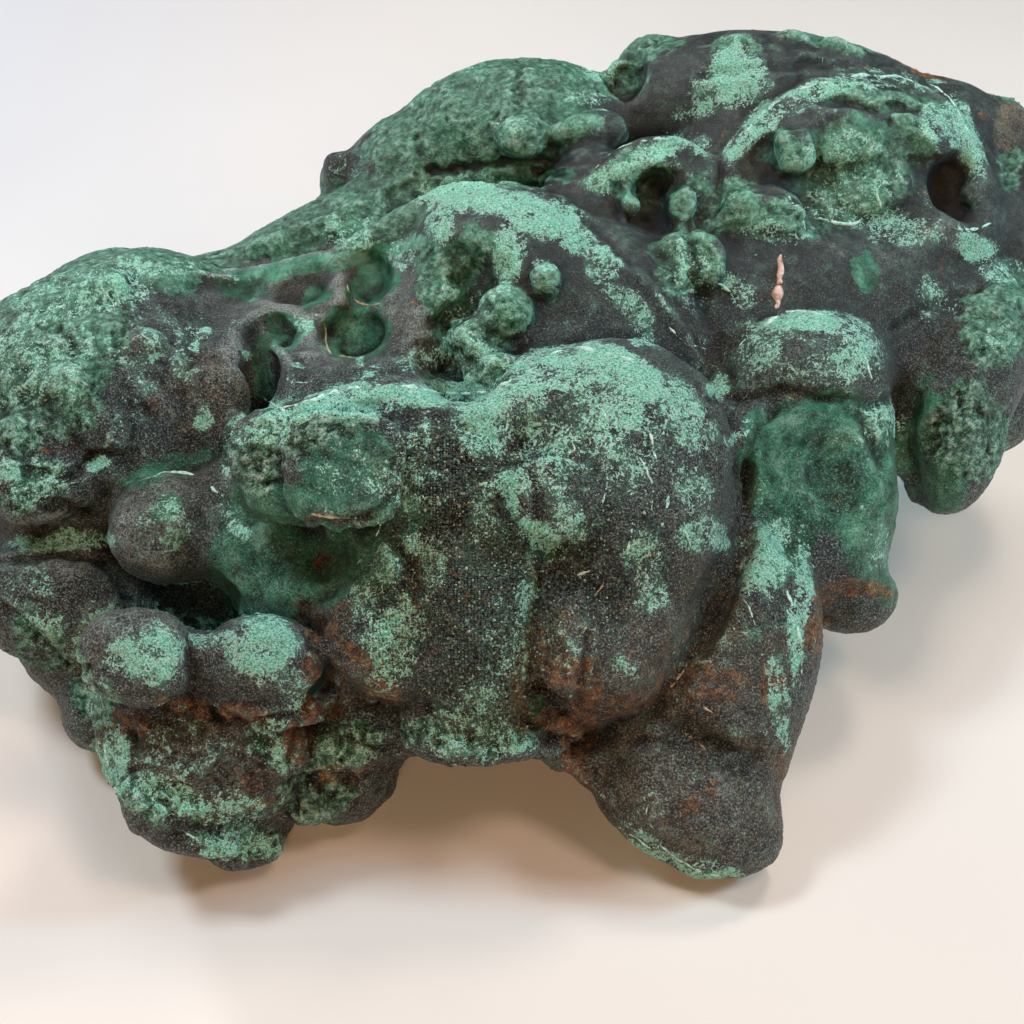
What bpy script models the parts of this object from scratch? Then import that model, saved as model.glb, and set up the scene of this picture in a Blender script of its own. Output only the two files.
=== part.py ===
"""A botryoidal malachite specimen, built as the one solid that it is.

Rounded forms are laid out on a drawing plane, fused into one skin and softened. Hollows and
grooves are sunk into the skin, smaller knobs and raised rims are added, and the base is cut
flat where the stone stands.
"""

import math

import bmesh
import bpy
import numpy as np
from mathutils import Matrix, Vector

MM = 0.001

# The drawing plane leans back from upright. Each form is given in millimetres where it is seen
# on that plane, and is then moved out along the line of sight.
EYE_DISTANCE = 570
PLANE_LEAN = math.radians(40)
PLANE_MIDDLE = (-3, -21.4, 55.4)

BROAD_VOXEL = 2.5
BROAD_SMOOTHING = 10
SKIN_VOXEL = 2.0
SKIN_SMOOTHING = 3
FACE_LIMIT = 9400
BEADS_PER_SPAN = 8

# name: across, up, out, half width, half height, half depth, turn in degrees anticlockwise
BROAD_FORMS = {
    "core_left": (-75, 30, -15, 78, 42, 48, 8),
    "core_middle": (0, 42, -15, 85, 58, 52, 0),
    "core_right": (85, 62, -28, 72, 52, 46, 15),
    "left_mound": (-135, 30, -8, 54, 50, 50, 0),
    "left_mound_crown": (-126, 62, -15, 38, 26, 36, 6),
    "left_mound_low": (-150, 14, 14, 30, 21, 34, 0),
    "left_mound_bump": (-126, 16, 22, 14, 13, 18, 0),
    "left_shoulder": (-150, -30, 16, 32, 21, 30, -8),
    "left_under": (-142, -48, 6, 22, 16, 24, -22),
    "left_under_low": (-136, -65, 20, 14, 16, 18, -30),
    "left_belly": (-108, -28, -2, 34, 25, 26, 0),
    "dark_knob": (-115, -6, 38, 20, 19, 22, 25),
    "dark_knob_neck": (-88, 6, 34, 22, 15, 20, 30),
    "foot_block": (-103, -78, 60, 33, 32, 26, 0),
    "foot_tip": (-90, -105, 46, 17, 13, 16, 0),
    "foot_chin": (-98, -90, 52, 26, 18, 20, -10),
    "foot_brow": (-103, -54, 72, 36, 14, 18, 0),
    "foot_left_edge": (-127, -72, 54, 11, 24, 20, 15),
    "foot_right_block": (-57, -82, 38, 20, 23, 22, 0),
    "brow_dome": (33, 3, 52, 42, 56, 44, -8),
    "brow_crown": (24, 34, 46, 34, 20, 34, -10),
    "tongue": (37, -44, 66, 25, 32, 26, -16),
    "brow_left": (-28, 0, 50, 52, 42, 42, 0),
    "cheek": (-58, -16, 44, 36, 33, 34, 0),
    "cheek_edge": (-88, -15, 38, 14, 22, 24, 10),
    "muzzle": (-26, -30, 66, 36, 36, 27, 0),
    "grain_hump": (-13, -34, 76, 22, 42, 24, 4),
    "nose_lobe": (-44, -43, 77, 19, 21, 18, 25),
    "ledge": (-62, 14, 78, 29, 20, 20, 5),
    "crest": (-25, 32, 62, 44, 12, 24, -3),
    "crest_dome_join": (8, 34, 58, 26, 16, 26, 10),
    "chin_shelf": (-14, -70, 60, 26, 15, 20, 0),
    "under_nose": (-42, -66, 46, 26, 17, 20, 0),
    "lobe": (66, -58, 44, 34, 58, 30, -12),
    "lobe_shoulder": (86, -34, 40, 17, 34, 24, 8),
    "lobe_low": (57, -91, 50, 33, 25, 25, -28),
    "lobe_toe": (71, -107, 52, 21, 16, 18, 0),
    "lobe_heel": (28, -80, 50, 20, 10, 14, -15),
    "shell_knob": (98, 46, 14, 29, 22, 28, 0),
    "shell_body": (98, 24, 12, 29, 42, 29, -4),
    "shell_face": (102, 2, 14, 26, 38, 29, -5),
    "shell_tail": (112, -28, 10, 17, 13, 20, 0),
    "shell_join": (74, 10, 22, 16, 34, 24, 0),
    "far_mass": (147, 46, -12, 23, 38, 30, -28),
    "far_lower": (146, 22, -10, 17, 22, 22, -10),
    "far_tip": (144, 11, -8, 11, 13, 16, 0),
    "upper_right": (108, 98, -32, 62, 42, 44, -12),
    "roof": (86, 132, -45, 60, 27, 35, -4),
    "roof_right": (141, 120, -45, 28, 24, 30, -20),
    "bubble": (113, 110, -14, 45, 34, 28, -8),
    "corner": (163, 124, -35, 12, 14, 14, 0),
    "side_bulge": (172, 90, -30, 18, 34, 25, 0),
    "peak": (48, 147, -48, 14, 12, 16, 0),
    "peak_ridge": (70, 130, -38, 26, 16, 22, 15),
    "small_bubble": (44, 106, -2, 23, 16, 20, 8),
    "small_bubble_neck": (24, 104, -8, 14, 18, 20, 0),
    "back_hill": (2, 122, -45, 44, 28, 34, 4),
    "back_hill_left": (-30, 110, -45, 26, 24, 27, 12),
    "step_block": (-56, 111, -48, 9, 9, 12, 0),
    "back_slope": (-60, 87, -40, 42, 17, 30, 22),
    "back_slope_low": (-93, 74, -40, 30, 13, 25, 10),
    "summit": (-2, 82, 8, 33, 27, 30, -8),
    "summit_right": (32, 66, 6, 36, 30, 28, -35),
    "saddle": (-68, 50, -16, 54, 27, 36, 10),
    "front_slope": (-52, 34, 24, 48, 18, 28, 8),
    "valley": (70, 62, -13, 42, 34, 30, 0),
}

# name: right, back, height above the ground, half length, half width, half height, turn about
# the upright axis. Right and back are measured from under the drawing plane's middle.
HIDDEN_FORMS = {
    "back_foot": (20, 86, 20, 44, 30, 24, 10),
    "back_foot_right": (104, 84, 22, 34, 28, 26, -15),
    "back_foot_left": (-84, 58, 22, 40, 28, 24, 15),
    "back_belly": (20, 92, 62, 70, 34, 40, 0),
    "back_knob": (88, 118, 66, 30, 24, 27, 0),
    "back_knob_left": (-40, 92, 72, 30, 24, 26, 0),
    "back_knob_middle": (28, 124, 78, 26, 18, 22, 0),
    "back_knob_low": (60, 108, 36, 24, 18, 18, 0),
    "left_end": (-168, 22, 44, 26, 36, 34, 0),
    "left_end_knob": (-176, 48, 62, 18, 20, 20, 0),
    "right_end": (168, 74, 60, 28, 34, 30, 0),
    "right_end_knob": (180, 96, 84, 18, 20, 18, 0),
    "back_bud_left": (-78, 84, 96, 14, 12, 13, 0),
    "back_bud_right": (128, 112, 92, 15, 13, 14, 0),
    "back_bud_low": (-12, 108, 50, 16, 14, 15, 0),
    "under_left": (-66, 6, 46, 50, 40, 27, 12),
    "under_middle": (4, 26, 42, 46, 42, 26, -14),
    "under_right": (76, 34, 44, 44, 38, 27, 0),
    "under_bud_left": (-34, 42, 26, 20, 18, 14, 0),
    "under_bud_right": (58, 16, 26, 18, 20, 13, 0),
}

# name: across, up, floor out, half width, half height, depth, turn
HOLLOWS = {
    "big_shell": (119, 113, -2, 37, 25, 22, -8),
    "side_hollow": (151, 108, -22, 12, 12, 22, 0),
    "small_bubble": (48, 104, 2, 18, 10, 16, 0),
    "cheek": (-78, -16, 66, 18, 17, 16, 0),
    "summit_cavity": (-14, 60, 20, 18, 26, 20, -10),
    "peak_hole": (38, 146, -44, 7, 10, 14, 0),
    "shell_scar": (103, 12, 34, 23, 32, 12, -4),
    "saddle_pit": (-47, 77, -5, 8, 10, 10, 0),
    "saddle_pit_low": (-52, 59, 2, 12, 9, 10, 0),
    "saddle_pit_left": (-71, 74, -6, 10, 6, 8, 0),
    "saddle_pit_small": (-79, 57, -3, 8, 7, 8, 0),
    "saddle_slot": (-82, 43, 3, 7, 14, 9, 0),
    "under_knobs": (-104, -28, 28, 14, 9, 20, 0),
}

# name: points of across, up, out, then half width and depth of a groove
GROOVES = {
    "tongue_groove": (((78, 12, 70), (77, -8, 74), (66, -34, 80), (48, -64, 84), (28, -74, 82)), 9, 9),
    "seam": (((8, -8, 96), (9, -34, 98), (7, -60, 92)), 4, 4),
    "tongue_crack": (((23, -42, 92), (22, -60, 92), (20, -76, 84)), 4, 7),
    "nose_crevice": (((-70, -42, 84), (-62, -56, 84), (-50, -64, 84), (-38, -69, 80)), 6, 10),
    "foot_crease": (((-104, -62, 86), (-122, -66, 84)), 5, 4),
    "ledge_undercut": (((-88, 2, 84), (-74, -6, 88), (-56, -9, 90), (-42, -2, 90)), 6, 8),
    "dome_edge": (((4, 22, 88), (10, 8, 94), (8, -8, 96)), 6, 4),
    "far_fold": (((132, 40, 12), (136, 20, 12), (138, 4, 8)), 7, 8),
    "shell_arc": (((84, 32, 38), (100, 38, 40), (116, 32, 38), (124, 18, 34)), 4, 3),
    "lobe_dent": (((58, -74, 76), (68, -80, 76), (78, -84, 74)), 10, 5),
}

DETAIL_FORMS = {
    "foot_knob_left": (-123, -48, 83, 20, 15, 15, -15),
    "foot_knob_right": (-85, -50, 81, 20, 13, 14, 0),
    "foot_knob_join": (-104, -50, 78, 12, 11, 13, 0),
    "foot_lip": (-82, -65, 79, 23, 7, 10, -6),
        "arm": (19, -44, 84, 11, 20, 12, 0),
    "ledge_left": (-80, 8, 80, 13, 12, 14, 0),
    "ledge_disc": (-56, 14, 95, 16, 15, 8, 0),
    "shield": (12, 4, 93, 16, 17, 4, 0),
    "cavity_knob": (-2, 67, 34, 9, 9, 9, 0),
    "cavity_knob_small": (11, 77, 36, 6, 6, 6, 0),
    "cavity_lump": (-11, 56, 32, 12, 10, 9, 0),
    "cavity_lump_low": (-7, 46, 40, 10, 7, 9, 0),
    "shell_fill": (119, 120, -2, 21, 18, 9, 0),
    "shell_fill_block": (93, 121, 4, 8, 8, 7, 0),
    "shell_flake": (84, 101, 10, 15, 9, 6, -10),
    "bubble_tooth": (39, 106, 12, 4, 6, 5, 0),
    "bubble_tooth_large": (55, 102, 10, 5, 8, 5, 0),
    "green_crust": (59, 82, 14, 13, 14, 8, 0),
    "hill_knob": (4, 126, -10, 9, 8, 9, 0),
    "hill_knob_dark": (26, 127, -12, 14, 7, 10, 5),
}

# name: points of across, up, out, radius along a raised rim
RIMS = {
    "saddle_rim": (
        (-121, 79, -14, 5), (-100, 76, -8, 5), (-77, 79, -2, 5), (-57, 85, 2, 5),
        (-37, 96, 6, 6), (-20, 104, 10, 6), (0, 105, 14, 6), (18, 98, 16, 6), (32, 86, 18, 6),
    ),
    "big_shell_rim": (
        (68, 92, 8, 6), (68, 107, 6, 5), (76, 121, 3, 5), (88, 132, -2, 5), (104, 140, -6, 5),
        (120, 141, -8, 5), (137, 136, -9, 5), (149, 127, -8, 5), (155, 114, -6, 5),
        (157, 100, -4, 5),
    ),
    "small_bubble_rim": (
        (25, 104, 10, 4), (32, 114, 10, 5), (44, 121, 8, 5), (56, 121, 6, 5), (65, 115, 4, 4),
        (68, 106, 4, 4),
    ),
    "saddle_pit_rim": (
        (-57, 72, 4, 3), (-57, 82, 2, 3), (-48, 89, 4, 3), (-39, 82, 6, 3), (-40, 72, 8, 3),
        (-48, 68, 7, 3), (-57, 72, 4, 3),
    ),
    "saddle_web": ((-64, 66, 5, 3), (-74, 66, 3, 3), (-86, 60, 1, 3), (-90, 44, 6, 3)),
}


def plane_axes():
    """The drawing plane's across, up and out directions."""
    across = Vector((1, 0, 0))
    up = Vector((0, math.sin(PLANE_LEAN), math.cos(PLANE_LEAN)))
    out = Vector((0, -math.cos(PLANE_LEAN), math.sin(PLANE_LEAN)))
    return across, up, out


def nearness(out):
    """How much smaller than its drawing a form is, for standing out towards the eye."""
    return (EYE_DISTANCE - out) / EYE_DISTANCE


def on_plane(across, up, out):
    """The point, in metres, that is seen at (across, up) and stands out that far."""
    a, u, o = plane_axes()
    shrink = nearness(out)
    placed = a * (across * shrink) + u * (up * shrink) + o * out
    return (Vector(PLANE_MIDDLE) + placed) * MM


def form_matrix(across, up, out, half_width, half_height, half_depth, turn):
    """Places a unit ball as a form: scaled, turned in the drawing plane, and moved."""
    shrink = nearness(out) * MM
    axes = Matrix(plane_axes()).transposed().to_4x4()
    turned = Matrix.Rotation(math.radians(turn), 4, "Z")
    size = Matrix.Diagonal((half_width * shrink, half_height * shrink, half_depth * shrink, 1))
    return Matrix.Translation(on_plane(across, up, out)) @ axes @ turned @ size


def upright_matrix(right, back, height, half_length, half_width, half_height, turn):
    """Places a unit ball as a form that the drawing plane doesn't show."""
    place = Vector((PLANE_MIDDLE[0] + right, PLANE_MIDDLE[1] + back, height)) * MM
    turned = Matrix.Rotation(math.radians(turn), 4, "Z")
    size = Matrix.Diagonal((half_length * MM, half_width * MM, half_height * MM, 1))
    return Matrix.Translation(place) @ turned @ size


def clear_scene():
    for obj in list(bpy.data.objects):
        bpy.data.objects.remove(obj, do_unlink=True)


def add_balls(mesh, matrices, subdivisions):
    for matrix in matrices:
        bmesh.ops.create_icosphere(mesh, subdivisions=subdivisions, radius=1, matrix=matrix)


def rim_matrices(points):
    """Beads set close together along a raised rim."""
    for start, end in zip(points, points[1:]):
        for step in range(BEADS_PER_SPAN + 1):
            share = step / BEADS_PER_SPAN
            a, u, o, r = (s + (e - s) * share for s, e in zip(start, end))
            yield form_matrix(a, u, o, r, r, r, 0)


def fused(mesh, voxel, smoothing):
    """The overlapping closed shapes in a bmesh, as one softened skin."""
    data = bpy.data.meshes.new("shapes")
    mesh.to_mesh(data)
    obj = bpy.data.objects.new("shapes", data)
    bpy.context.scene.collection.objects.link(obj)
    skin = obj.modifiers.new("skin", "REMESH")
    skin.mode = "VOXEL"
    skin.voxel_size = voxel * MM
    soften = obj.modifiers.new("soften", "SMOOTH")
    soften.factor = 0.5
    soften.iterations = smoothing
    graph = bpy.context.evaluated_depsgraph_get()
    made = bpy.data.meshes.new_from_object(obj.evaluated_get(graph))
    bpy.data.objects.remove(obj)
    return made


def read_points(data):
    points = np.empty(len(data.vertices) * 3)
    data.vertices.foreach_get("co", points)
    return points.reshape(-1, 3)


def sink(points, hollow):
    """Pushes what lies in front of the far wall of an egg-shaped hollow back to that wall."""
    across, up, floor, half_width, half_height, depth, turn = hollow
    matrix = np.array(form_matrix(across, up, floor + depth, half_width, half_height, depth, turn))
    local = (points - matrix[:3, 3]) @ np.linalg.inv(matrix[:3, :3]).T
    spread = local[:, 0] ** 2 + local[:, 1] ** 2
    wall = -np.sqrt(np.clip(1 - spread, 0, 1))
    inside = (spread < 1) & (local[:, 2] > wall)
    local[inside, 2] = wall[inside]
    return local @ matrix[:3, :3].T + matrix[:3, 3]


def press(points, route, half_width, depth):
    """Presses a soft groove into the front of the skin along a route."""
    inward = -np.array(plane_axes()[2])
    places = np.array([on_plane(*place) for place in route])
    offset = np.zeros(len(points))
    reach = 3 * half_width * MM
    for start, end in zip(places, places[1:]):
        along = end - start
        share = np.clip((points - start) @ along / (along @ along), 0, 1)
        gap = points - start - share[:, None] * along
        lateral = gap - (gap @ inward)[:, None] * inward
        width = np.linalg.norm(lateral, axis=1) / (half_width * MM)
        near = np.abs(gap @ inward) < reach
        offset = np.maximum(offset, np.where(near, np.clip(1 - width**2, 0, 1) ** 2, 0))
    return points + offset[:, None] * inward * depth * MM


def carved(data):
    """The softened skin with its hollows sunk and its grooves pressed in."""
    points = read_points(data)
    for hollow in HOLLOWS.values():
        points = sink(points, hollow)
    for groove in GROOVES.values():
        points = press(points, *groove)
    data.vertices.foreach_set("co", points.ravel())
    return data


def rock_skin():
    mesh = bmesh.new()
    add_balls(mesh, [form_matrix(*form) for form in BROAD_FORMS.values()], 4)
    add_balls(mesh, [upright_matrix(*form) for form in HIDDEN_FORMS.values()], 4)
    broad = carved(fused(mesh, BROAD_VOXEL, BROAD_SMOOTHING))
    mesh.clear()
    mesh.from_mesh(broad)
    add_balls(mesh, [form_matrix(*form) for form in DETAIL_FORMS.values()], 4)
    for points in RIMS.values():
        add_balls(mesh, rim_matrices(points), 2)
    skin = fused(mesh, SKIN_VOXEL, SKIN_SMOOTHING)
    mesh.free()
    return skin


def thinned(data):
    """The skin with few enough faces, closer together where it bends."""
    obj = bpy.data.objects.new("full", data)
    bpy.context.scene.collection.objects.link(obj)
    thin = obj.modifiers.new("thin", "DECIMATE")
    thin.ratio = FACE_LIMIT / (2 * len(data.polygons))
    thin.use_collapse_triangulate = True
    graph = bpy.context.evaluated_depsgraph_get()
    made = bpy.data.meshes.new_from_object(obj.evaluated_get(graph))
    bpy.data.objects.remove(obj)
    return made


def stand_flat(data):
    """Cuts the skin off level with the ground and closes it with flat faces."""
    mesh = bmesh.new()
    mesh.from_mesh(data)
    cut = bmesh.ops.bisect_plane(
        mesh,
        geom=mesh.verts[:] + mesh.edges[:] + mesh.faces[:],
        plane_co=(0, 0, 0),
        plane_no=(0, 0, -1),
        clear_outer=True,
    )
    edges = [item for item in cut["geom_cut"] if isinstance(item, bmesh.types.BMEdge)]
    flats = bmesh.ops.holes_fill(mesh, edges=edges)["faces"]
    bmesh.ops.triangulate(mesh, faces=flats)
    bmesh.ops.recalc_face_normals(mesh, faces=mesh.faces[:])
    mesh.to_mesh(data)
    mesh.free()


def malachite_skin():
    material = bpy.data.materials.new("malachite")
    material.use_nodes = True
    finish = material.node_tree.nodes["Principled BSDF"]
    finish.inputs["Base Color"].default_value = (0.045, 0.075, 0.062, 1)
    finish.inputs["Roughness"].default_value = 0.55
    finish.inputs["Metallic"].default_value = 0
    return material


def rock():
    data = thinned(rock_skin())
    stand_flat(data)
    data.name = "malachite_rock"
    data.materials.append(malachite_skin())
    data.shade_smooth()
    obj = bpy.data.objects.new("malachite_rock", data)
    bpy.context.scene.collection.objects.link(obj)


def main():
    clear_scene()
    rock()


main()
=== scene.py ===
# %% [markdown]
# # A malachite specimen
#
# Malachite grows in rounded lumps, one thin green layer over another, and the lumps meet in
# deep clefts. This specimen wears a dark grey-brown skin over the green. The skin is dusted
# with bright mint powder on its crests, it is broken open into green bubbles and pits, and it
# is stained with rust low down. The whole stone is one piece, so the scene has one skin, and
# thin crusts of grains that sit on it.
#
# The solid that the checks use is loaded first. Everything here is worked out from it.

# %% Load the stone's solid
import math

import bpy
import numpy as np
from mathutils import Matrix


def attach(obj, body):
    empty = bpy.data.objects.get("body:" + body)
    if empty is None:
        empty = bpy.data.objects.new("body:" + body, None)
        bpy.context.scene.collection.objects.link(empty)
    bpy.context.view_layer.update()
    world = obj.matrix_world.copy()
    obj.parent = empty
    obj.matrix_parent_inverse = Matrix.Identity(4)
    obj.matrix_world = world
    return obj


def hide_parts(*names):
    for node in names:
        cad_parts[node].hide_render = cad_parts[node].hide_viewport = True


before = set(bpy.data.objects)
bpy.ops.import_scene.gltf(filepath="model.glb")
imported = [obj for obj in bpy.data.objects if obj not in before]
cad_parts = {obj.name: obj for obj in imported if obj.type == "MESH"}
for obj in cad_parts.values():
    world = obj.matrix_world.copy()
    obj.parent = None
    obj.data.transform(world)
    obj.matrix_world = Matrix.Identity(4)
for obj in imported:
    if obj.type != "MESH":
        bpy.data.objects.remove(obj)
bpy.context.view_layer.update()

# %% [markdown]
# ## The drawing plane and the chart
#
# The stone was designed on a plane that leans back from upright. The chart is that plane ruled
# in thirds of a millimetre, with its first step at the top left. A place on the stone is then
# easy to give: steps across, steps down, and millimetres out towards the eye. The eye is also
# where the camera stands, so the chart and the picture agree.

# %% The chart
MM = 0.001
EYE_DISTANCE = 570.0
PLANE_LEAN = math.radians(40)
PLANE_MIDDLE = np.array((-3.0, -21.4, 55.4))
STEPS_PER_MM = 3.0
CHART_SIZE = 1024
ACROSS = np.array((1.0, 0.0, 0.0))
UP = np.array((0.0, math.sin(PLANE_LEAN), math.cos(PLANE_LEAN)))
OUT = np.array((0.0, -math.cos(PLANE_LEAN), math.sin(PLANE_LEAN)))
PLANE_AXES = np.array((ACROSS, UP, OUT))


def from_chart(across_steps, down_steps, out):
    """Chart to real millimetres: the plane's place for (across, down), drawn towards the eye
    by (eye distance - out) / eye distance, then moved out."""
    a = (np.asarray(across_steps, float) - CHART_SIZE / 2) / STEPS_PER_MM
    u = (CHART_SIZE / 2 - np.asarray(down_steps, float)) / STEPS_PER_MM
    o = np.asarray(out, float)
    nearness = (EYE_DISTANCE - o) / EYE_DISTANCE
    plane = np.stack(np.broadcast_arrays(a * nearness, u * nearness, o), -1)
    return PLANE_MIDDLE + plane @ PLANE_AXES


def to_chart(points):
    """Real millimetres to (across steps, down steps, out): the opposite of from_chart."""
    plane = (points - PLANE_MIDDLE) @ PLANE_AXES.T
    nearness = (EYE_DISTANCE - plane[:, 2]) / EYE_DISTANCE
    across_steps = CHART_SIZE / 2 + STEPS_PER_MM * plane[:, 0] / nearness
    down_steps = CHART_SIZE / 2 - STEPS_PER_MM * plane[:, 1] / nearness
    return across_steps, down_steps, plane[:, 2]


# %% [markdown]
# ## The camera
#
# The camera looks square at the plane from the eye. Its lens takes in the chart exactly: half
# the sensor is to the focal length as half the chart is to the eye's distance.

# %% Camera
SENSOR = 36.0
view = bpy.data.cameras.new("camera")
view.sensor_width = SENSOR
view.lens = SENSOR / 2 * EYE_DISTANCE / (CHART_SIZE / 2 / STEPS_PER_MM)
view.clip_start = 0.01
camera = bpy.data.objects.new("camera", view)
bpy.context.scene.collection.objects.link(camera)
eye = (PLANE_MIDDLE + OUT * EYE_DISTANCE) * MM
turn = Matrix(PLANE_AXES.tolist()).transposed().to_4x4()
camera.matrix_world = Matrix.Translation(eye.tolist()) @ turn
bpy.context.scene.camera = camera
print("lens, mm:", round(view.lens, 1))

# %% [markdown]
# ## Meshes as arrays
#
# Blender can hand a mesh over as numpy arrays and take it back again. In between, a whole skin
# of 200,000 points is moved with one line of arithmetic, where a loop over its points would
# take minutes.

# %% Array helpers


def mesh_of(name, points, faces):
    """A Blender mesh from millimetre points and an array of triangles or quads."""
    mesh = bpy.data.meshes.new(name)
    mesh.vertices.add(len(points))
    mesh.vertices.foreach_set("co", (points * MM).astype(np.float32).ravel())
    corners = faces.shape[1]
    mesh.loops.add(faces.size)
    mesh.loops.foreach_set("vertex_index", faces.astype(np.int32).ravel())
    mesh.polygons.add(len(faces))
    mesh.polygons.foreach_set("loop_start", np.arange(0, faces.size, corners, dtype=np.int32))
    mesh.update(calc_edges=True)
    return mesh


def arrays_of(mesh, corners):
    """The millimetre points and faces of a mesh whose faces all have that many corners."""
    points = np.empty(len(mesh.vertices) * 3, np.float32)
    mesh.vertices.foreach_get("co", points)
    faces = np.empty(len(mesh.polygons) * corners, np.int32)
    mesh.loops.foreach_get("vertex_index", faces)
    return points.reshape(-1, 3).astype(float) / MM, faces.reshape(-1, corners)


def with_modifier(mesh, kind, **settings):
    """The mesh that a modifier makes of this one, and nothing left behind."""
    carrier = bpy.data.objects.new("carrier", mesh)
    bpy.context.scene.collection.objects.link(carrier)
    modifier = carrier.modifiers.new("step", kind)
    for key, value in settings.items():
        setattr(modifier, key, value)
    graph = bpy.context.evaluated_depsgraph_get()
    made = bpy.data.meshes.new_from_object(carrier.evaluated_get(graph))
    bpy.data.objects.remove(carrier)
    bpy.data.meshes.remove(mesh)
    return made


def fused(parts, voxel):
    """Closed shapes that overlap, as one even skin of quads about one voxel wide."""
    starts = np.cumsum([0] + [len(points) for points, _ in parts])
    points = np.concatenate([points for points, _ in parts])
    faces = np.concatenate([tris + start for (_, tris), start in zip(parts, starts)])
    mesh = mesh_of("shapes", points, faces)
    skin = with_modifier(mesh, "REMESH", mode="VOXEL", voxel_size=voxel * MM)
    result = arrays_of(skin, 4)
    bpy.data.meshes.remove(skin)
    return result


def as_triangles(quads):
    """Each quad as two triangles."""
    return np.concatenate((quads[:, [0, 1, 2]], quads[:, [0, 2, 3]]))


def edges_of(faces):
    """Each edge of the faces once, as pairs of point numbers."""
    pairs = np.stack((faces, np.roll(faces, -1, axis=1)), -1).reshape(-1, 2)
    return np.unique(np.sort(pairs, axis=1), axis=0)


def spread_to_points(values, index, count):
    """Adds up rows of values at their point numbers."""
    return np.stack([np.bincount(index, column, count) for column in values.T], -1)


def normals_of(points, faces):
    """Unit normals: each point adds up the area-weighted normals of the faces round it."""
    a, b, c = (points[faces[:, i]] for i in range(3))
    flat = np.cross(b - a, c - a)
    total = sum(spread_to_points(flat, faces[:, i], len(points)) for i in range(faces.shape[1]))
    return total / np.maximum(np.linalg.norm(total, axis=1, keepdims=True), 1e-12)


def neighbour_mean(values, edges, count):
    """For each point, the mean of its neighbours' values."""
    ends = np.concatenate((edges[:, 0], edges[:, 1]))
    others = np.concatenate((edges[:, 1], edges[:, 0]))
    degree = np.maximum(np.bincount(ends, minlength=count), 1)[:, None]
    return spread_to_points(values[others], ends, count) / degree


def softened(points, edges, rounds, shrink=0.5, swell=-0.52):
    """Taubin smoothing: a step towards the neighbours' mean, then one away from it, so that
    roughness goes and the size stays."""
    for _ in range(rounds):
        for step in (shrink, swell):
            points = points + step * (neighbour_mean(points, edges, len(points)) - points)
    return points


# %% [markdown]
# ## The broad skin
#
# The solid has few faces, so that the checks run fast. A copy of it is cut into even quads and
# smoothed until the flat facets are gone. That gives the broad swells of the stone, and keeps
# them exactly where the solid has them.

# %% Broad skin from the solid
BROAD_VOXEL = 1.9


def merged_triangles(mesh):
    """A loose mesh's triangles with the corners that share a place made one point."""
    points, triangles = arrays_of(mesh, 3)
    places, index = np.unique(np.round(points, 4), axis=0, return_inverse=True)
    triangles = index.reshape(-1)[triangles]
    whole = (triangles != np.roll(triangles, 1, axis=1)).all(axis=1)
    return places, triangles[whole]


solid = merged_triangles(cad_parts["malachite_rock"].data)
broad, broad_quads = fused([solid], BROAD_VOXEL)
broad = softened(broad, edges_of(broad_quads), 14)
print("broad skin:", len(broad), "points")

# %% [markdown]
# ## Looking a place up on the skin
#
# Crisp forms have to grow out of the broad skin, so their depth is given from it: a sight line
# from the eye finds where the skin is at a chart place, as a finger would on the real stone.

# %% Sight lines
from mathutils.bvhtree import BVHTree

sight = BVHTree.FromPolygons(broad.tolist(), broad_quads.tolist())
EYE = PLANE_MIDDLE + OUT * EYE_DISTANCE


def skin_out(across_steps, down_steps):
    """How far out the broad skin stands where the eye's line through that chart place meets it."""
    line = from_chart(across_steps, down_steps, 0.0) - EYE
    hit = sight.ray_cast(EYE.tolist(), line.tolist())[0]
    if hit is None:
        raise ValueError(f"no skin at chart place {across_steps}, {down_steps}")
    return float((np.array(hit) - PLANE_MIDDLE) @ OUT)


print("dome stands out, mm:", round(skin_out(600, 500), 1))

# %% [markdown]
# ## Lumps, blocks and flakes
#
# Each one is a closed surface of two angles: how far down from the pole, and how far round. A
# power on the sines and cosines squares a ball off into a block, which is how the broken
# lumps in the hollows look. A spare flat face is left out by sinking each form half into the
# skin, and the fusing step afterwards welds them into it.

# %% Lumps
DOWN_ROWS = 20
ROUND_COLUMNS = 36


def bent(wave, power):
    """A sine or cosine raised to a power with its sign kept: 1 is round, less is squarer."""
    return np.sign(wave) * np.abs(wave) ** power


def closed_skin(rings, first, last):
    """Triangles round a stack of rings (rows, columns, 3), with a fan to a tip at each end."""
    rows, columns = rings.shape[:2]
    index = np.arange(rows * columns).reshape(rows, columns)
    here, beside = index, np.roll(index, -1, axis=1)
    low, low_beside = here[:-1].ravel(), beside[:-1].ravel()
    high, high_beside = here[1:].ravel(), beside[1:].ravel()
    start, end = rows * columns, rows * columns + 1
    triangles = np.concatenate((
        np.stack((low, high_beside, high), -1),
        np.stack((low, low_beside, high_beside), -1),
        np.stack((np.full(columns, start), beside[0], here[0]), -1),
        np.stack((np.full(columns, end), here[-1], beside[-1]), -1),
    ))
    return np.concatenate((rings.reshape(-1, 3), [first], [last])), triangles


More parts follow.
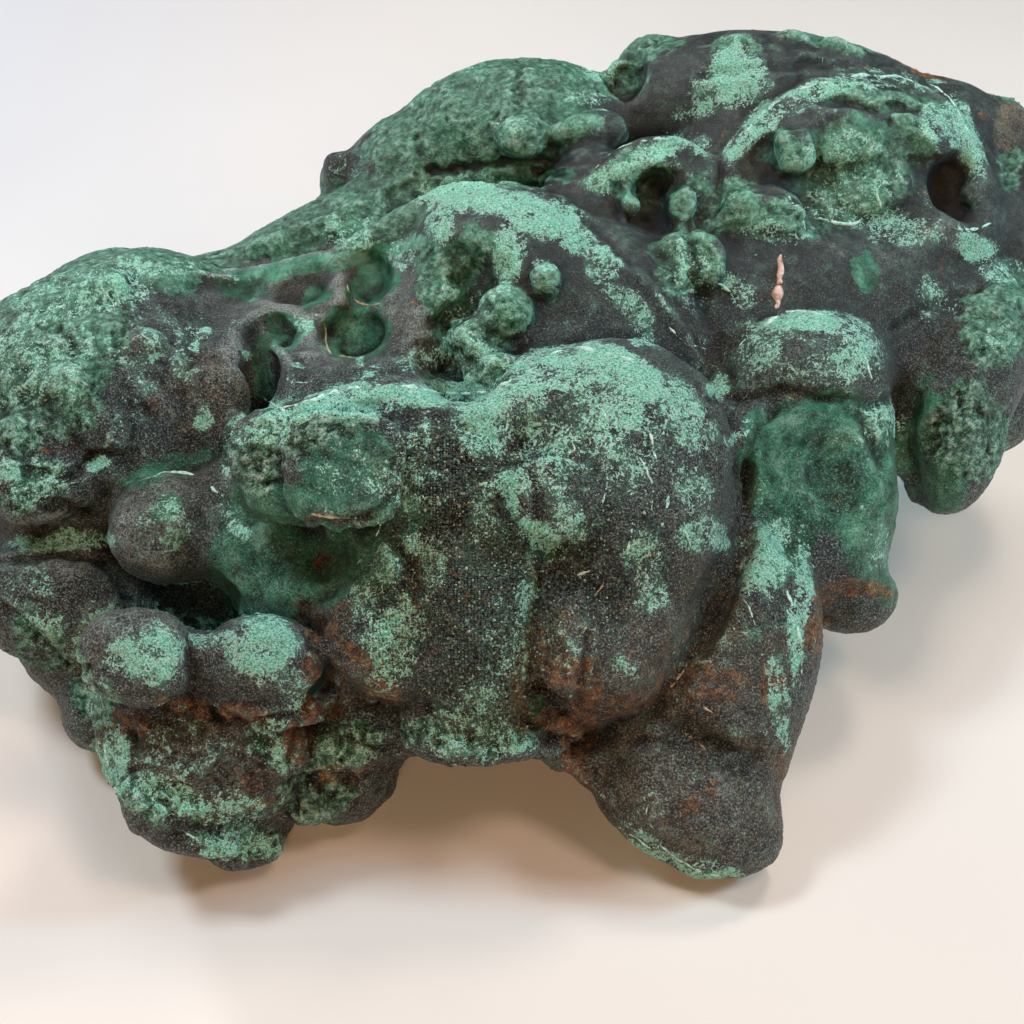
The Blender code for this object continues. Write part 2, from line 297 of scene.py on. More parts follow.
def lump(across, down, lift, half_width, half_height, half_depth, turn=0, power=1.0):
    """Superellipsoid: (cos r . sin d, sin r . sin d, cos d), each bent by the power, scaled by
    its half sizes, turned in the plane, and set on the skin at the chart place."""
    down_angle = np.linspace(0, math.pi, DOWN_ROWS + 2)[1:-1, None]
    round_angle = np.linspace(0, 2 * math.pi, ROUND_COLUMNS, endpoint=False)[None, :]
    flat = bent(np.sin(down_angle), power)
    local = np.stack((
        bent(np.cos(round_angle), power) * flat * half_width / STEPS_PER_MM,
        bent(np.sin(round_angle), power) * flat * half_height / STEPS_PER_MM,
        np.broadcast_to(bent(np.cos(down_angle), power), (DOWN_ROWS, ROUND_COLUMNS)) * half_depth,
    ), -1)
    c, s = math.cos(math.radians(turn)), math.sin(math.radians(turn))
    turned = local @ np.array(((c, s, 0), (-s, c, 0), (0, 0, 1)))
    out = skin_out(across, down) + lift
    centre = from_chart(across, down, out)
    tips = centre + np.array((OUT, -OUT)) * half_depth
    points, triangles = closed_skin(centre + turned @ PLANE_AXES, *tips)
    return points, triangles[:, ::-1]


# name: across, down (chart steps), lift (mm), half width, half height (steps), half depth (mm),
# turn in degrees anticlockwise, squareness
LUMPS = {
    "foot knob left": (140, 656, -9, 52, 41, 13, -12, 0.95),
    "foot knob right": (262, 658, -9, 52, 38, 13, 0, 0.95),
    "ledge disc": (344, 470, 1.0, 50, 47, 5.5, 0, 0.6),
    "ledge stub": (288, 496, -1, 38, 24, 9, -20, 0.75),
    "ledge stub top": (262, 462, 0, 26, 30, 7, 20, 0.7),
    "ledge hook": (242, 478, -1, 10, 24, 5, -15, 0.8),
    "ledge crown": (290, 428, -3, 46, 20, 11, 10, 0.7),
    "ledge crown bump": (262, 436, -1, 24, 18, 7, 0, 0.75),
    "ledge crown middle": (318, 414, -2, 28, 14, 8, 25, 0.7),
    "ledge crown right": (362, 402, -3, 36, 13, 8, 12, 0.75),
    "cavity knob": (506, 312, -5, 26, 24, 9, 0, 0.9),
    "cavity bud": (545, 280, -3, 15, 16, 6, 0, 0.9),
    "cavity lump": (476, 340, -3, 20, 22, 7, 20, 0.8),
    "cavity lump low": (500, 368, -3, 24, 12, 7, 0, 0.8),
    "cavity lump left": (440, 300, -3, 22, 14, 5, 30, 0.8),
    "shell fill top": (852, 146, -3, 34, 22, 7, 0, 0.7),
    "shell fill": (872, 190, -3, 44, 26, 7, 10, 0.8),
    "shell fill low": (826, 212, -3, 34, 24, 6, 0, 0.75),
    "shell block": (792, 152, -1, 20, 20, 6, 10, 0.55),
    "shell flake": (762, 214, -1, 42, 20, 4, -10, 0.6),
    "shell flake low": (742, 232, -1, 16, 14, 4, 0, 0.7),
    "bubble tooth": (630, 198, 0, 10, 16, 4, 0, 0.8),
    "bubble tooth large": (682, 206, 0, 15, 22, 5, 0, 0.8),
    "green crust": (690, 262, -2, 34, 30, 5, 0, 0.7),
    "green crust bud": (716, 228, -2, 16, 12, 5, 0, 0.8),
    "hill knob": (524, 136, -4, 25, 22, 7, 0, 1.0),
    "hill knob dark": (588, 131, -4, 40, 18, 7, 4, 1.0),
    "crevice tube": (537, 714, 0, 9, 16, 6, -15, 0.9),
    "step block": (345, 170, -5, 22, 18, 8, 0, 0.6),
    "roof bud left": (742, 44, -5, 26, 10, 7, 0, 0.9),
    "roof bud middle": (790, 42, -5, 24, 10, 7, 0, 0.9),
    "roof bud right": (842, 52, -5, 28, 10, 7, -20, 0.9),
    "pit floor": (372, 284, 7.5, 29, 31, 3, -10, 0.45),
    "pit floor low": (357, 336, 6.5, 43, 30, 3, 0, 0.45),
    "pit floor left": (303, 293, 6.5, 36, 20, 3, 0, 0.45),
    "pit floor small": (284, 328, 5, 28, 24, 3, 0, 0.45),
    "slot floor": (264, 384, 5, 20, 48, 3, 8, 0.5),
    "side floor": (956, 192, 8, 38, 38, 5, 0, 0.6),
    "peak floor": (624, 78, 5, 20, 22, 6, 0, 0.9),
    "foot heel": (186, 834, -4, 48, 18, 8, -16, 0.8),
    "foot heel left": (148, 800, -4, 24, 34, 8, 10, 0.8),
    "mound knuckle": (106, 430, -4.8, 27, 30, 9, 10, 0.85),
    "mound knuckle low": (114, 474, -4.3, 20, 18, 7, 0, 0.9),
    "mound fold": (150, 396, -5.3, 36, 18, 8, -42, 0.9),
    "mound fold right": (208, 402, -6.1, 42, 36, 7, 20, 0.85),
    "mound crag": (136, 350, -5.3, 28, 18, 7, 30, 0.8),
    "mound crag left": (92, 300, -5.3, 40, 20, 7, 25, 0.8),
    "mound low mass": (44, 486, -5.3, 52, 34, 10, 10, 0.85),
    "mound low bump": (20, 440, -4.8, 30, 24, 8, 0, 0.85),
    "hump brow": (436, 452, -4, 52, 26, 8, -20, 0.9),
    "hump ball": (432, 500, -4.5, 36, 28, 7, 0, 0.9),
    "nose dust": (404, 560, -4.5, 22, 34, 7, -20, 0.9),
    "chin shelf": (470, 742, -3, 60, 16, 7, -4, 0.75),
    "chin shelf left": (430, 716, -3.5, 26, 18, 7, 20, 0.8),
    "right block": (352, 748, -4, 44, 22, 8, 24, 0.7),
    "right block low": (322, 796, -4, 34, 22, 8, 30, 0.7),
    "foot toe": (246, 850, -4, 34, 16, 7, 10, 0.8),
    "foot side": (272, 740, -4.5, 26, 38, 8, 30, 0.85),
    "mound bump": (70, 390, -5, 36, 26, 8, 20, 1.0),
    "shoulder fold": (30, 470, -5, 46, 14, 7, -10, 1.0),
    "toe heel": (560, 752, -4, 22, 14, 7, -35, 0.9),
    "pocket floor": (537, 714, -2, 44, 40, 7, 0, 0.9),
    "side hollow floor": (947, 192, -1, 34, 40, 8, 0, 0.9),
}
shapes = [lump(*form) for form in LUMPS.values()]
print("lumps:", len(shapes), "with", sum(len(faces) for _, faces in shapes), "triangles")

# %% [markdown]
# ## Raised rims
#
# Where a bubble of malachite broke, the edge of its wall still stands up as a rim. A rim is a
# round profile carried along a smooth route over the skin, thin at its two ends.

# %% Rims
ROUTE_PIECES = 10
PROFILE_POINTS = 12


def smooth_route(places):
    """Catmull-Rom: each stretch is the cubic that leaves and arrives along the chords of the
    points before and after it."""
    places = np.asarray(places, float)
    padded = np.concatenate((2 * places[:1] - places[1:2], places, 2 * places[-1:] - places[-2:-1]))
    t = np.linspace(0, 1, ROUTE_PIECES, endpoint=False)[:, None, None]
    a, b, c, d = padded[:-3], padded[1:-2], padded[2:-1], padded[3:]
    curve = 0.5 * (2 * b + (c - a) * t + (2 * a - 5 * b + 4 * c - d) * t**2
                   + (3 * b - a - 3 * c + d) * t**3)
    return np.concatenate((curve.transpose(1, 0, 2).reshape(-1, places.shape[1]), places[-1:]))


def rim(radius, lift, *places):
    """A circle carried along the route through the chart places, its radius growing from the
    ends as the square root of a half sine."""
    route = np.array([(a, d, skin_out(a, d) + lift) for a, d in places])
    route = smooth_route(route)
    centres = from_chart(route[:, 0], route[:, 1], route[:, 2])
    along = np.gradient(centres, axis=0)
    along /= np.linalg.norm(along, axis=1, keepdims=True)
    side = np.cross(along, OUT)
    side /= np.linalg.norm(side, axis=1, keepdims=True)
    top = np.cross(side, along)
    share = np.linspace(0, 1, len(centres))
    size = radius * np.sqrt(np.clip(np.sin(math.pi * share), 0.04, 1))
    angle = np.linspace(0, 2 * math.pi, PROFILE_POINTS, endpoint=False)
    circle = (np.cos(angle)[None, :, None] * side[:, None] + np.sin(angle)[None, :, None] * top[:, None])
    rings = centres[:, None] + circle * size[:, None, None]
    points, triangles = closed_skin(rings, centres[0], centres[-1])
    return points, triangles[:, ::-1]


# name: radius (mm), lift (mm), then the chart places of the route
RIMS = {
    "crest": (3.0, -1.5, (236, 440), (262, 416), (300, 407), (345, 396), (390, 384), (440, 390),
              (490, 391), (530, 368), (565, 352)),
    "saddle back": (2.6, -1.5, (150, 262), (200, 276), (250, 280), (300, 270), (345, 256),
                    (385, 236), (420, 210)),
    "saddle web top": (2.2, -1, (285, 312), (318, 318), (345, 312), (352, 290), (350, 268)),
    "saddle web left": (2.2, -1, (352, 300), (338, 326), (330, 352), (300, 358), (280, 350),
                        (262, 342), (246, 356)),
    "saddle pit": (2.0, -1, (352, 270), (352, 296), (370, 308), (390, 298), (398, 276)),
    "slot edge": (2.2, -1, (262, 342), (284, 356), (292, 386), (286, 412)),
    "cavity edge": (2.4, -1, (392, 352), (420, 336), (452, 326), (470, 318)),
    "shell rim": (3.0, -1.5, (716, 196), (722, 160), (742, 132), (772, 106), (812, 88), (860, 80),
                  (905, 86), (945, 108), (968, 142), (978, 180)),
    "shell inner rim": (2.0, -1, (800, 118), (850, 104), (900, 112), (935, 140)),
    "side rim": (2.0, -1, (934, 196), (950, 216), (975, 222), (1000, 212)),
    "small rim": (2.6, -1, (584, 196), (602, 172), (632, 150), (668, 142), (700, 156), (714, 182)),
    "hollow lip": (2.0, -1.5, (236, 632), (268, 618), (300, 600), (345, 580), (398, 562)),
    "foot lip": (2.6, -2, (196, 702), (236, 706), (276, 708), (308, 700)),
    "lobe edge": (2.4, -1.6, (768, 522), (794, 552), (808, 596), (808, 650), (796, 702)),
    "shell edge": (2.4, -1.5, (744, 470), (742, 430), (768, 400), (806, 392), (850, 398)),
    "fold edge": (2.2, -1.5, (905, 400), (918, 440), (915, 486)),
    "arch edge": (2.2, -1.5, (552, 742), (580, 766), (620, 804), (656, 842)),
}
shapes += [rim(*form) for form in RIMS.values()]
SKIN_VOXEL = 1.45
skin, quads = fused([(broad, as_triangles(broad_quads))] + shapes, SKIN_VOXEL)
skin = softened(skin, edges_of(quads), 2)
print("skin with lumps and rims:", len(skin), "points")

# %% [markdown]
# ## Noise in whole arrays
#
# Nothing on a stone is regular, so most of what follows is steered by noise: a smooth random
# value at every place. Value noise gives each corner of a grid of cubes a random number, made
# by mixing the corner's whole-number place, and blends the eight corners round a point.
# Cell noise gives each cube one random seed point and measures how far the nearest one is.

# %% Noise
HASH_WEIGHTS = np.array((73856093, 19349663, 83492791), np.int64)


def corner_random(corners, seed):
    """A repeatable number from 0 to 1 for each whole-number place, from mixed-up products."""
    mixed = (corners @ HASH_WEIGHTS + seed * 2654435761) & 0xFFFFFFFF
    mixed = ((mixed ^ (mixed >> 15)) * 2246822519) & 0xFFFFFFFF
    mixed = ((mixed ^ (mixed >> 13)) * 3266489917) & 0xFFFFFFFF
    return ((mixed ^ (mixed >> 16)) & 0xFFFFFF) / 0xFFFFFF


def value_noise(places, seed=0):
    """From -1 to 1: corner numbers blended with the weight 3t.t - 2t.t.t along each axis."""
    base = np.floor(places).astype(np.int64)
    t = places - base
    t = t * t * (3 - 2 * t)
    total = np.zeros(len(places))
    for corner in np.ndindex(2, 2, 2):
        weight = np.prod(np.where(corner, t, 1 - t), axis=1)
        total += weight * corner_random(base + corner, seed)
    return total * 2 - 1


def layered_noise(points, size, layers=4, rough=0.5, seed=0):
    """Value noise of that size in mm, plus finer layers, each half as large and weaker."""
    total = np.zeros(len(points))
    strength = 1.0
    for layer in range(layers):
        total += strength * value_noise(points / size * 2**layer + 17.3 * layer, seed + layer)
        strength *= rough
    return total


def cell_distance(points, size, seed=0):
    """How far the nearest seed point is, in cells: 0 on a seed, about 1 far from any."""
    places = points / size
    base = np.floor(places).astype(np.int64)
    nearest = np.full(len(points), 9.0)
    for step in np.ndindex(3, 3, 3):
        cell = base + (np.array(step) - 1)
        seeds = np.stack([corner_random(cell, seed + axis) for axis in range(3)], -1)
        gap = cell + seeds - places
        nearest = np.minimum(nearest, (gap * gap).sum(1))
    return np.sqrt(nearest)


# %% [markdown]
# ## What can be seen from the eye
#
# Marks given on the chart must land on the front of the stone and not pass through to its back.
# The chart is cut into small squares, and each one notes how far out the nearest skin in it
# stands. A point is seen if it is about that far out, and faces the eye.

# %% Seen from the eye
SQUARE = 6
SQUARES = 240
SQUARES_MARGIN = 36


def seen_from_eye(points, normals, slack=5.0):
    """1 where a point is within the slack of the outermost skin round it on the chart, and
    falling to 0 past that and where the skin turns away."""
    across, down, out = to_chart(points)
    column = np.clip((across / SQUARE).astype(int) + SQUARES_MARGIN, 1, SQUARES - 2)
    row = np.clip((down / SQUARE).astype(int) + SQUARES_MARGIN, 1, SQUARES - 2)
    front = np.full((SQUARES, SQUARES), -999.0)
    np.maximum.at(front, (row, column), out)
    around = [np.roll(front, (i, j), (0, 1)) for i in (-1, 0, 1) for j in (-1, 0, 1)]
    front = np.sort(np.array(around), axis=0)[-3]
    behind = front[row, column] - out
    facing = normals @ OUT
    return np.clip(2 - behind / slack, 0, 1) * np.clip(facing * 4 + 0.8, 0, 1)


# %% [markdown]
# ## Pits, dents and grooves
#
# A stamp presses the skin in, or lifts it, under an oval or along a route on the chart. Its
# edge is bent by noise, so no pit is a perfect oval. A hard stamp has steep sides and a flat
# floor, like the pits where a bubble broke, and a soft one is a shallow bowl.

# %% Stamps


def oval_distance(across, down, place):
    """How far each chart place is from an oval's middle, as a share of its half size."""
    middle_across, middle_down, half_width, half_height, turn = place
    c, s = math.cos(math.radians(turn)), math.sin(math.radians(turn))
    x, y = across - middle_across, down - middle_down
    return np.hypot((x * c - y * s) / half_width, (x * s + y * c) / half_height)


def route_distance(across, down, places, half_width):
    """How far each chart place is from a smooth route, as a share of its half width."""
    route = smooth_route(places)
    nearest = np.full(len(across), 1e9)
    for start, end in zip(route, route[1:]):
        ahead = end - start
        share = ((across - start[0]) * ahead[0] + (down - start[1]) * ahead[1]) / (ahead @ ahead)
        share = np.clip(share, 0, 1)
        gap = np.hypot(across - start[0] - share * ahead[0], down - start[1] - share * ahead[1])
        nearest = np.minimum(nearest, gap)
    return nearest / half_width


def stamped(distance, soft):
    """1 inside, falling smoothly to 0 at distance 1; the slope takes the soft share of it."""
    t = np.clip((1 - distance) / soft, 0, 1)
    return t * t * (3 - 2 * t)


# name: across, down, half width, half height, turn, depth (mm, lifted if negative), softness
PITS = {
    "saddle pit": (370, 282, 23, 27, -10, 1.2, 0.25),
    "saddle pit low": (356, 334, 36, 24, 0, 1.2, 0.25),
    "saddle pit left": (300, 291, 30, 15, 5, 1.2, 0.4),
    "saddle pit small": (283, 325, 23, 17, 0, 1.6, 0.4),
    "saddle slot": (264, 378, 14, 42, 8, 1.0, 0.6),
    "saddle shallow": (205, 286, 44, 10, 0, 1.6, 0.8),
    "cavity upper": (462, 262, 26, 34, 15, 4.0, 0.7),
    "cavity left": (448, 318, 34, 22, 20, 2.5, 0.7),
    "cavity floor": (462, 368, 34, 16, 0, 3.0, 0.6),
    "cavity hole": (455, 352, 9, 7, 0, 3.0, 0.5),
    "knob dimple": (497, 345, 8, 7, 0, 2.0, 0.6),
    "knob side dimple": (487, 306, 9, 8, 0, 2.0, 0.6),
    "shell crescent": (868, 104, 62, 10, -4, 5.0, 0.6),
    "shell left hollow": (768, 160, 24, 34, 0, 3.0, 0.7),
    "shell right hollow": (930, 165, 26, 30, 0, 1.0, 1.0),
    "side hollow": (966, 192, 26, 20, 0, -2.5, 1.0),
    "small hollow": (648, 182, 44, 20, 8, 5.0, 0.6),
    "peak hole": (624, 76, 17, 20, 0, 4.0, 0.5),
    "hill hollow": (556, 172, 40, 8, -6, 2.5, 0.7),
    "cheek hollow": (262, 566, 46, 52, 0, 4.0, 1.0),
    "cheek niche": (330, 560, 50, 26, 20, 2.5, 0.9),
    "ledge notch": (276, 480, 26, 5, 8, 2.5, 0.8),
    "ledge holes": (262, 428, 12, 7, 20, 2.0, 0.8),
    "ledge hole right": (296, 446, 11, 7, 0, 2.0, 0.8),
    "under nose": (330, 694, 18, 26, 10, 5.0, 0.7),
    "nose cleft": (372, 704, 26, 10, -15, 4.0, 0.7),
    "shield": (548, 490, 48, 60, 12, -1.0, 1.0),
    "arm pocket": (552, 700, 24, 14, 10, 1.5, 1.0),
    "tube hole": (534, 716, 8, 14, -15, 1.0, 0.9),
    "mound pocket": (64, 512, 40, 12, 0, 4.0, 0.8),
    "mound dent": (150, 405, 24, 30, 0, 2.0, 1.0),
    "mound dent low": (48, 400, 30, 26, 0, 2.0, 1.0),
    "knob dent": (176, 520, 20, 22, 0, -1.5, 1.0),
    "lobe dent": (716, 742, 34, 11, -18, 2.4, 1.0),
    "lobe dent left": (640, 742, 40, 10, 6, 2.0, 1.0),
    "shell green dent": (838, 474, 58, 62, 0, 2.5, 0.6),
    "shell step": (880, 540, 26, 60, 0, 1.5, 0.8),
    "far pocket": (936, 430, 20, 40, -25, 3.0, 1.0),
    "hump saddle": (492, 545, 36, 44, 10, 2.0, 1.0),
    "brow nick": (410, 430, 18, 30, 0, 1.5, 0.8),
    "knob flat left": (262, 650, 26, 12, 0, 0.8, 0.5),
}

# name: half width (steps), depth (mm, lifted if negative), softness, chart places of the route
GROOVES = {
    "lobe groove": (17, 5.0, 1.0, (744, 470), (744, 540), (722, 600), (690, 660), (650, 712), (600, 738),
                    (556, 742)),
    "hump seam": (7, 2.6, 1.0, (520, 440), (538, 490), (540, 540), (536, 600), (533, 660), (528, 690)),
    "arm crack": (8, 2.6, 1.0, (588, 632), (582, 668), (578, 706)),
    "shield foot": (9, 1.5, 1.0, (500, 500), (512, 526), (534, 548), (562, 548), (586, 524)),
    "ledge shadow": (9, 4.0, 0.9, (246, 516), (290, 526), (330, 524), (370, 516), (396, 492)),
    "nose rim": (6, 2.2, 1.0, (300, 618), (316, 650), (340, 676), (366, 696), (400, 704)),
    "hump side": (12, 2.0, 1.0, (404, 470), (396, 530), (410, 580), (424, 620)),
    "hump fold": (14, -1.6, 1.0, (398, 560), (360, 590), (320, 612)),
    "foot step": (7, 2.6, 0.9, (186, 700), (230, 722), (290, 716), (316, 690)),
    "foot crack": (4, 2.0, 1.0, (296, 722), (290, 760), (298, 806)),
    "foot cleft": (10, 3.0, 1.0, (190, 640), (196, 676), (190, 704)),
    "foot corner": (6, 2.0, 1.0, (128, 730), (140, 790), (180, 838)),
    "knob scratch": (3, -0.5, 1.0, (172, 478), (196, 492), (212, 520), (216, 548)),
    "mound seam": (8, 2.4, 1.0, (20, 470), (70, 474), (96, 452), (120, 452)),
    "shoulder seam": (7, 2.6, 1.0, (0, 560), (60, 556), (104, 566), (128, 600)),
    "shoulder seam low": (7, 2.4, 1.0, (0, 606), (40, 640), (70, 664), (92, 668)),
    "shell arc": (7, 1.6, 1.0, (752, 500), (752, 450), (776, 416), (820, 402), (860, 420), (884, 470)),
    "shell knob seam": (9, 2.6, 1.0, (712, 400), (760, 392), (820, 396), (868, 402), (892, 396)),
    "far fold": (10, 3.0, 1.0, (920, 392), (910, 430), (916, 480), (926, 508)),
    "far seam": (8, 2.0, 1.0, (890, 330), (930, 306), (980, 290)),
    "valley fold": (12, 2.4, 1.0, (690, 230), (700, 290), (716, 340), (740, 400)),
    "valley ridge": (10, -1.8, 1.0, (620, 262), (660, 300), (694, 360), (712, 410)),
    "bubble gap": (10, 3.0, 1.0, (716, 196), (724, 150), (756, 104), (800, 76)),
    "roof fold": (8, 2.2, 1.0, (700, 80), (770, 66), (840, 66), (900, 78)),
    "roof fold low": (6, 1.6, 1.0, (800, 62), (850, 66), (900, 62)),
    "summit fold": (8, 2.0, 1.0, (560, 208), (600, 230), (628, 266)),
    "hill seam": (8, 2.4, 1.0, (430, 170), (480, 166), (540, 160), (590, 158)),
    "slope fold": (9, -1.6, 1.0, (215, 262), (280, 236), (350, 208), (410, 176)),
    "slope fold low": (7, 1.6, 1.0, (240, 268), (300, 248), (350, 232)),
    "chin edge": (5, -1.2, 1.0, (400, 752), (450, 766), (500, 758), (536, 738)),
    "right block seam": (6, 2.6, 1.0, (330, 736), (372, 748), (400, 744)),
    "toe line": (5, -0.9, 1.0, (562, 742), (600, 806), (650, 850), (700, 872), (740, 870)),
}
WARP = 7.0
STAMP_SLACK = 7.0


def warped_chart(points, amount=WARP, size=9.0):
    """Chart places with a few steps of noise added, which makes straight edges wander."""
    across, down, _ = to_chart(points)
    across = across + amount * layered_noise(points, size, 3, 0.5, 11)
    down = down + amount * layered_noise(points, size, 3, 0.5, 47)
    return across, down


def stamp_all(points, normals):
    """Moves each seen point in along the line of sight, or along its normal where it is
    lifted, by every stamp's depth there."""
    across, down = warped_chart(points, 3.0)
    shown = seen_from_eye(points, normals, STAMP_SLACK)
    inward = np.zeros(len(points))
    for *oval, depth, soft in PITS.values():
        inward += depth * stamped(oval_distance(across, down, oval), soft)
    for half_width, depth, soft, *places in GROOVES.values():
        inward += depth * stamped(route_distance(across, down, places, half_width), soft)
    way = np.where(inward[:, None] > 0, 0.5 * (normals + OUT), normals)
    return points - way * (inward * shown)[:, None]


STAMPED_VOXEL = 0.9
skin = stamp_all(skin, normals_of(skin, quads))
skin, quads = fused([(skin, as_triangles(quads))], STAMPED_VOXEL)
skin_edges = edges_of(quads)
skin = softened(skin, skin_edges, 1)
print("stamped skin:", len(skin), "points")

# %% [markdown]
# ## Where each finish lies
#
# The stone is a patchwork: rough green crystals, smooth green glaze in the broken bubbles, mint
# powder on the crests, sugary grains on the hump, rust in the low clefts and smoky brown on the
# front lobes. Each finish has a list of soft ovals on the chart. Where no oval is seen, on the
# back and below, slow noise spreads the same finishes, so the whole stone is dressed.

# %% Finish patches
# each oval: across, down, half width, half height (chart steps), turn (degrees), strength
ROUGH_GREEN = (
    (60, 290, 95, 48, 25, 1), (130, 264, 110, 24, 0, 1), (45, 350, 70, 60, 0, 1), (66, 392, 46, 46, 0, .9),
    (10, 420, 44, 46, 0, .7), (100, 330, 34, 34, 0, .8), (165, 280, 46, 16, 5, .9),
    (230, 252, 70, 14, 5, 1), (300, 222, 70, 36, 20, 1), (375, 212, 62, 36, 20, 1), (445, 182, 90, 12, 5, .8),
    (470, 108, 125, 60, 0, 1), (415, 145, 60, 34, 10, 1), (560, 78, 60, 30, 0, 1), (520, 176, 44, 12, 0, .9),
    (300, 430, 62, 22, 12, 1), (256, 462, 28, 34, 0, 1), (352, 410, 50, 13, 8, 1),
    (438, 285, 22, 44, 15, 1), (466, 252, 20, 36, -25, .9), (508, 312, 27, 26, 0, 1), (548, 278, 16, 19, 0, 1),
    (474, 345, 34, 30, 20, 1), (470, 376, 46, 12, 0, 1), (500, 362, 22, 18, 0, 1), (505, 262, 18, 30, 0, .6),
    (848, 168, 60, 50, 0, 1), (780, 152, 22, 24, 0, 1), (900, 145, 44, 30, 0, .9), (830, 214, 50, 22, 0, .8),
    (880, 97, 72, 11, -6, 1), (738, 204, 34, 26, -20, .8), (775, 216, 36, 14, 0, .7),
    (632, 172, 44, 24, 25, .8), (690, 196, 17, 27, 0, .7), (640, 198, 20, 16, 0, .7),
    (685, 262, 37, 33, 0, 1), (708, 228, 19, 14, 0, 1), (640, 42, 44, 18, 0, 1), (624, 74, 26, 28, 0, 1),
    (590, 62, 30, 20, 0, .9), (830, 42, 52, 12, -12, .9), (740, 44, 34, 9, 0, .6), (1005, 88, 22, 14, 0, 1),
    (1010, 168, 16, 18, 0, .9), (992, 330, 36, 46, 0, .8), (966, 432, 46, 52, 0, .9), (1010, 300, 24, 30, 0, .7),
    (472, 735, 72, 26, 0, .7), (350, 746, 42, 26, 20, .8), (318, 792, 42, 30, 20, .8), (880, 420, 34, 30, 0, .5),
    (100, 740, 14, 60, -12, .8), (150, 800, 52, 24, -20, .8), (240, 842, 52, 20, 0, .8), (274, 745, 20, 30, 30, .5),
    (40, 646, 40, 22, -30, .5), (84, 690, 14, 50, 15, .8), (30, 480, 50, 34, 0, .45), (775, 640, 40, 70, 0, .2),
)
SMOOTH_GREEN = (
    (455, 280, 24, 40, 10, .8), (455, 335, 24, 20, 0, .7), (300, 500, 40, 16, 0, .6),
    (372, 282, 25, 29, -10, 1), (356, 334, 37, 27, 0, 1), (284, 330, 22, 20, 0, 1), (264, 380, 13, 42, 6, 1),
    (245, 291, 24, 8, 0, .8), (318, 300, 18, 12, 0, .7), (330, 262, 115, 9, 12, .8), (165, 468, 60, 10, 22, .8),
    (262, 560, 54, 74, 10, 1), (300, 590, 50, 22, 0, .6), (345, 560, 62, 40, 0, .8), (400, 520, 40, 26, 0, .6),
    (238, 540, 20, 60, 0, .9), (345, 468, 48, 48, 0, 1), (274, 492, 22, 13, -20, 1), (165, 505, 22, 18, 0, .6),
    (830, 460, 76, 72, 0, 1), (872, 520, 44, 64, 0, 1), (790, 530, 34, 54, -20, .8), (882, 566, 34, 44, 0, .9),
    (758, 462, 22, 60, 0, .7), (770, 540, 20, 40, 0, .6), (874, 138, 44, 26, 0, .7), (868, 268, 16, 22, 0, .8),
    (535, 708, 11, 18, -15, 1), (940, 474, 34, 44, 0, .6), (920, 430, 20, 60, -10, .6), (624, 80, 17, 22, 0, 1),
    (730, 216, 26, 18, 0, .7), (682, 200, 14, 22, 0, .6), (560, 176, 20, 8, 0, .9),
)
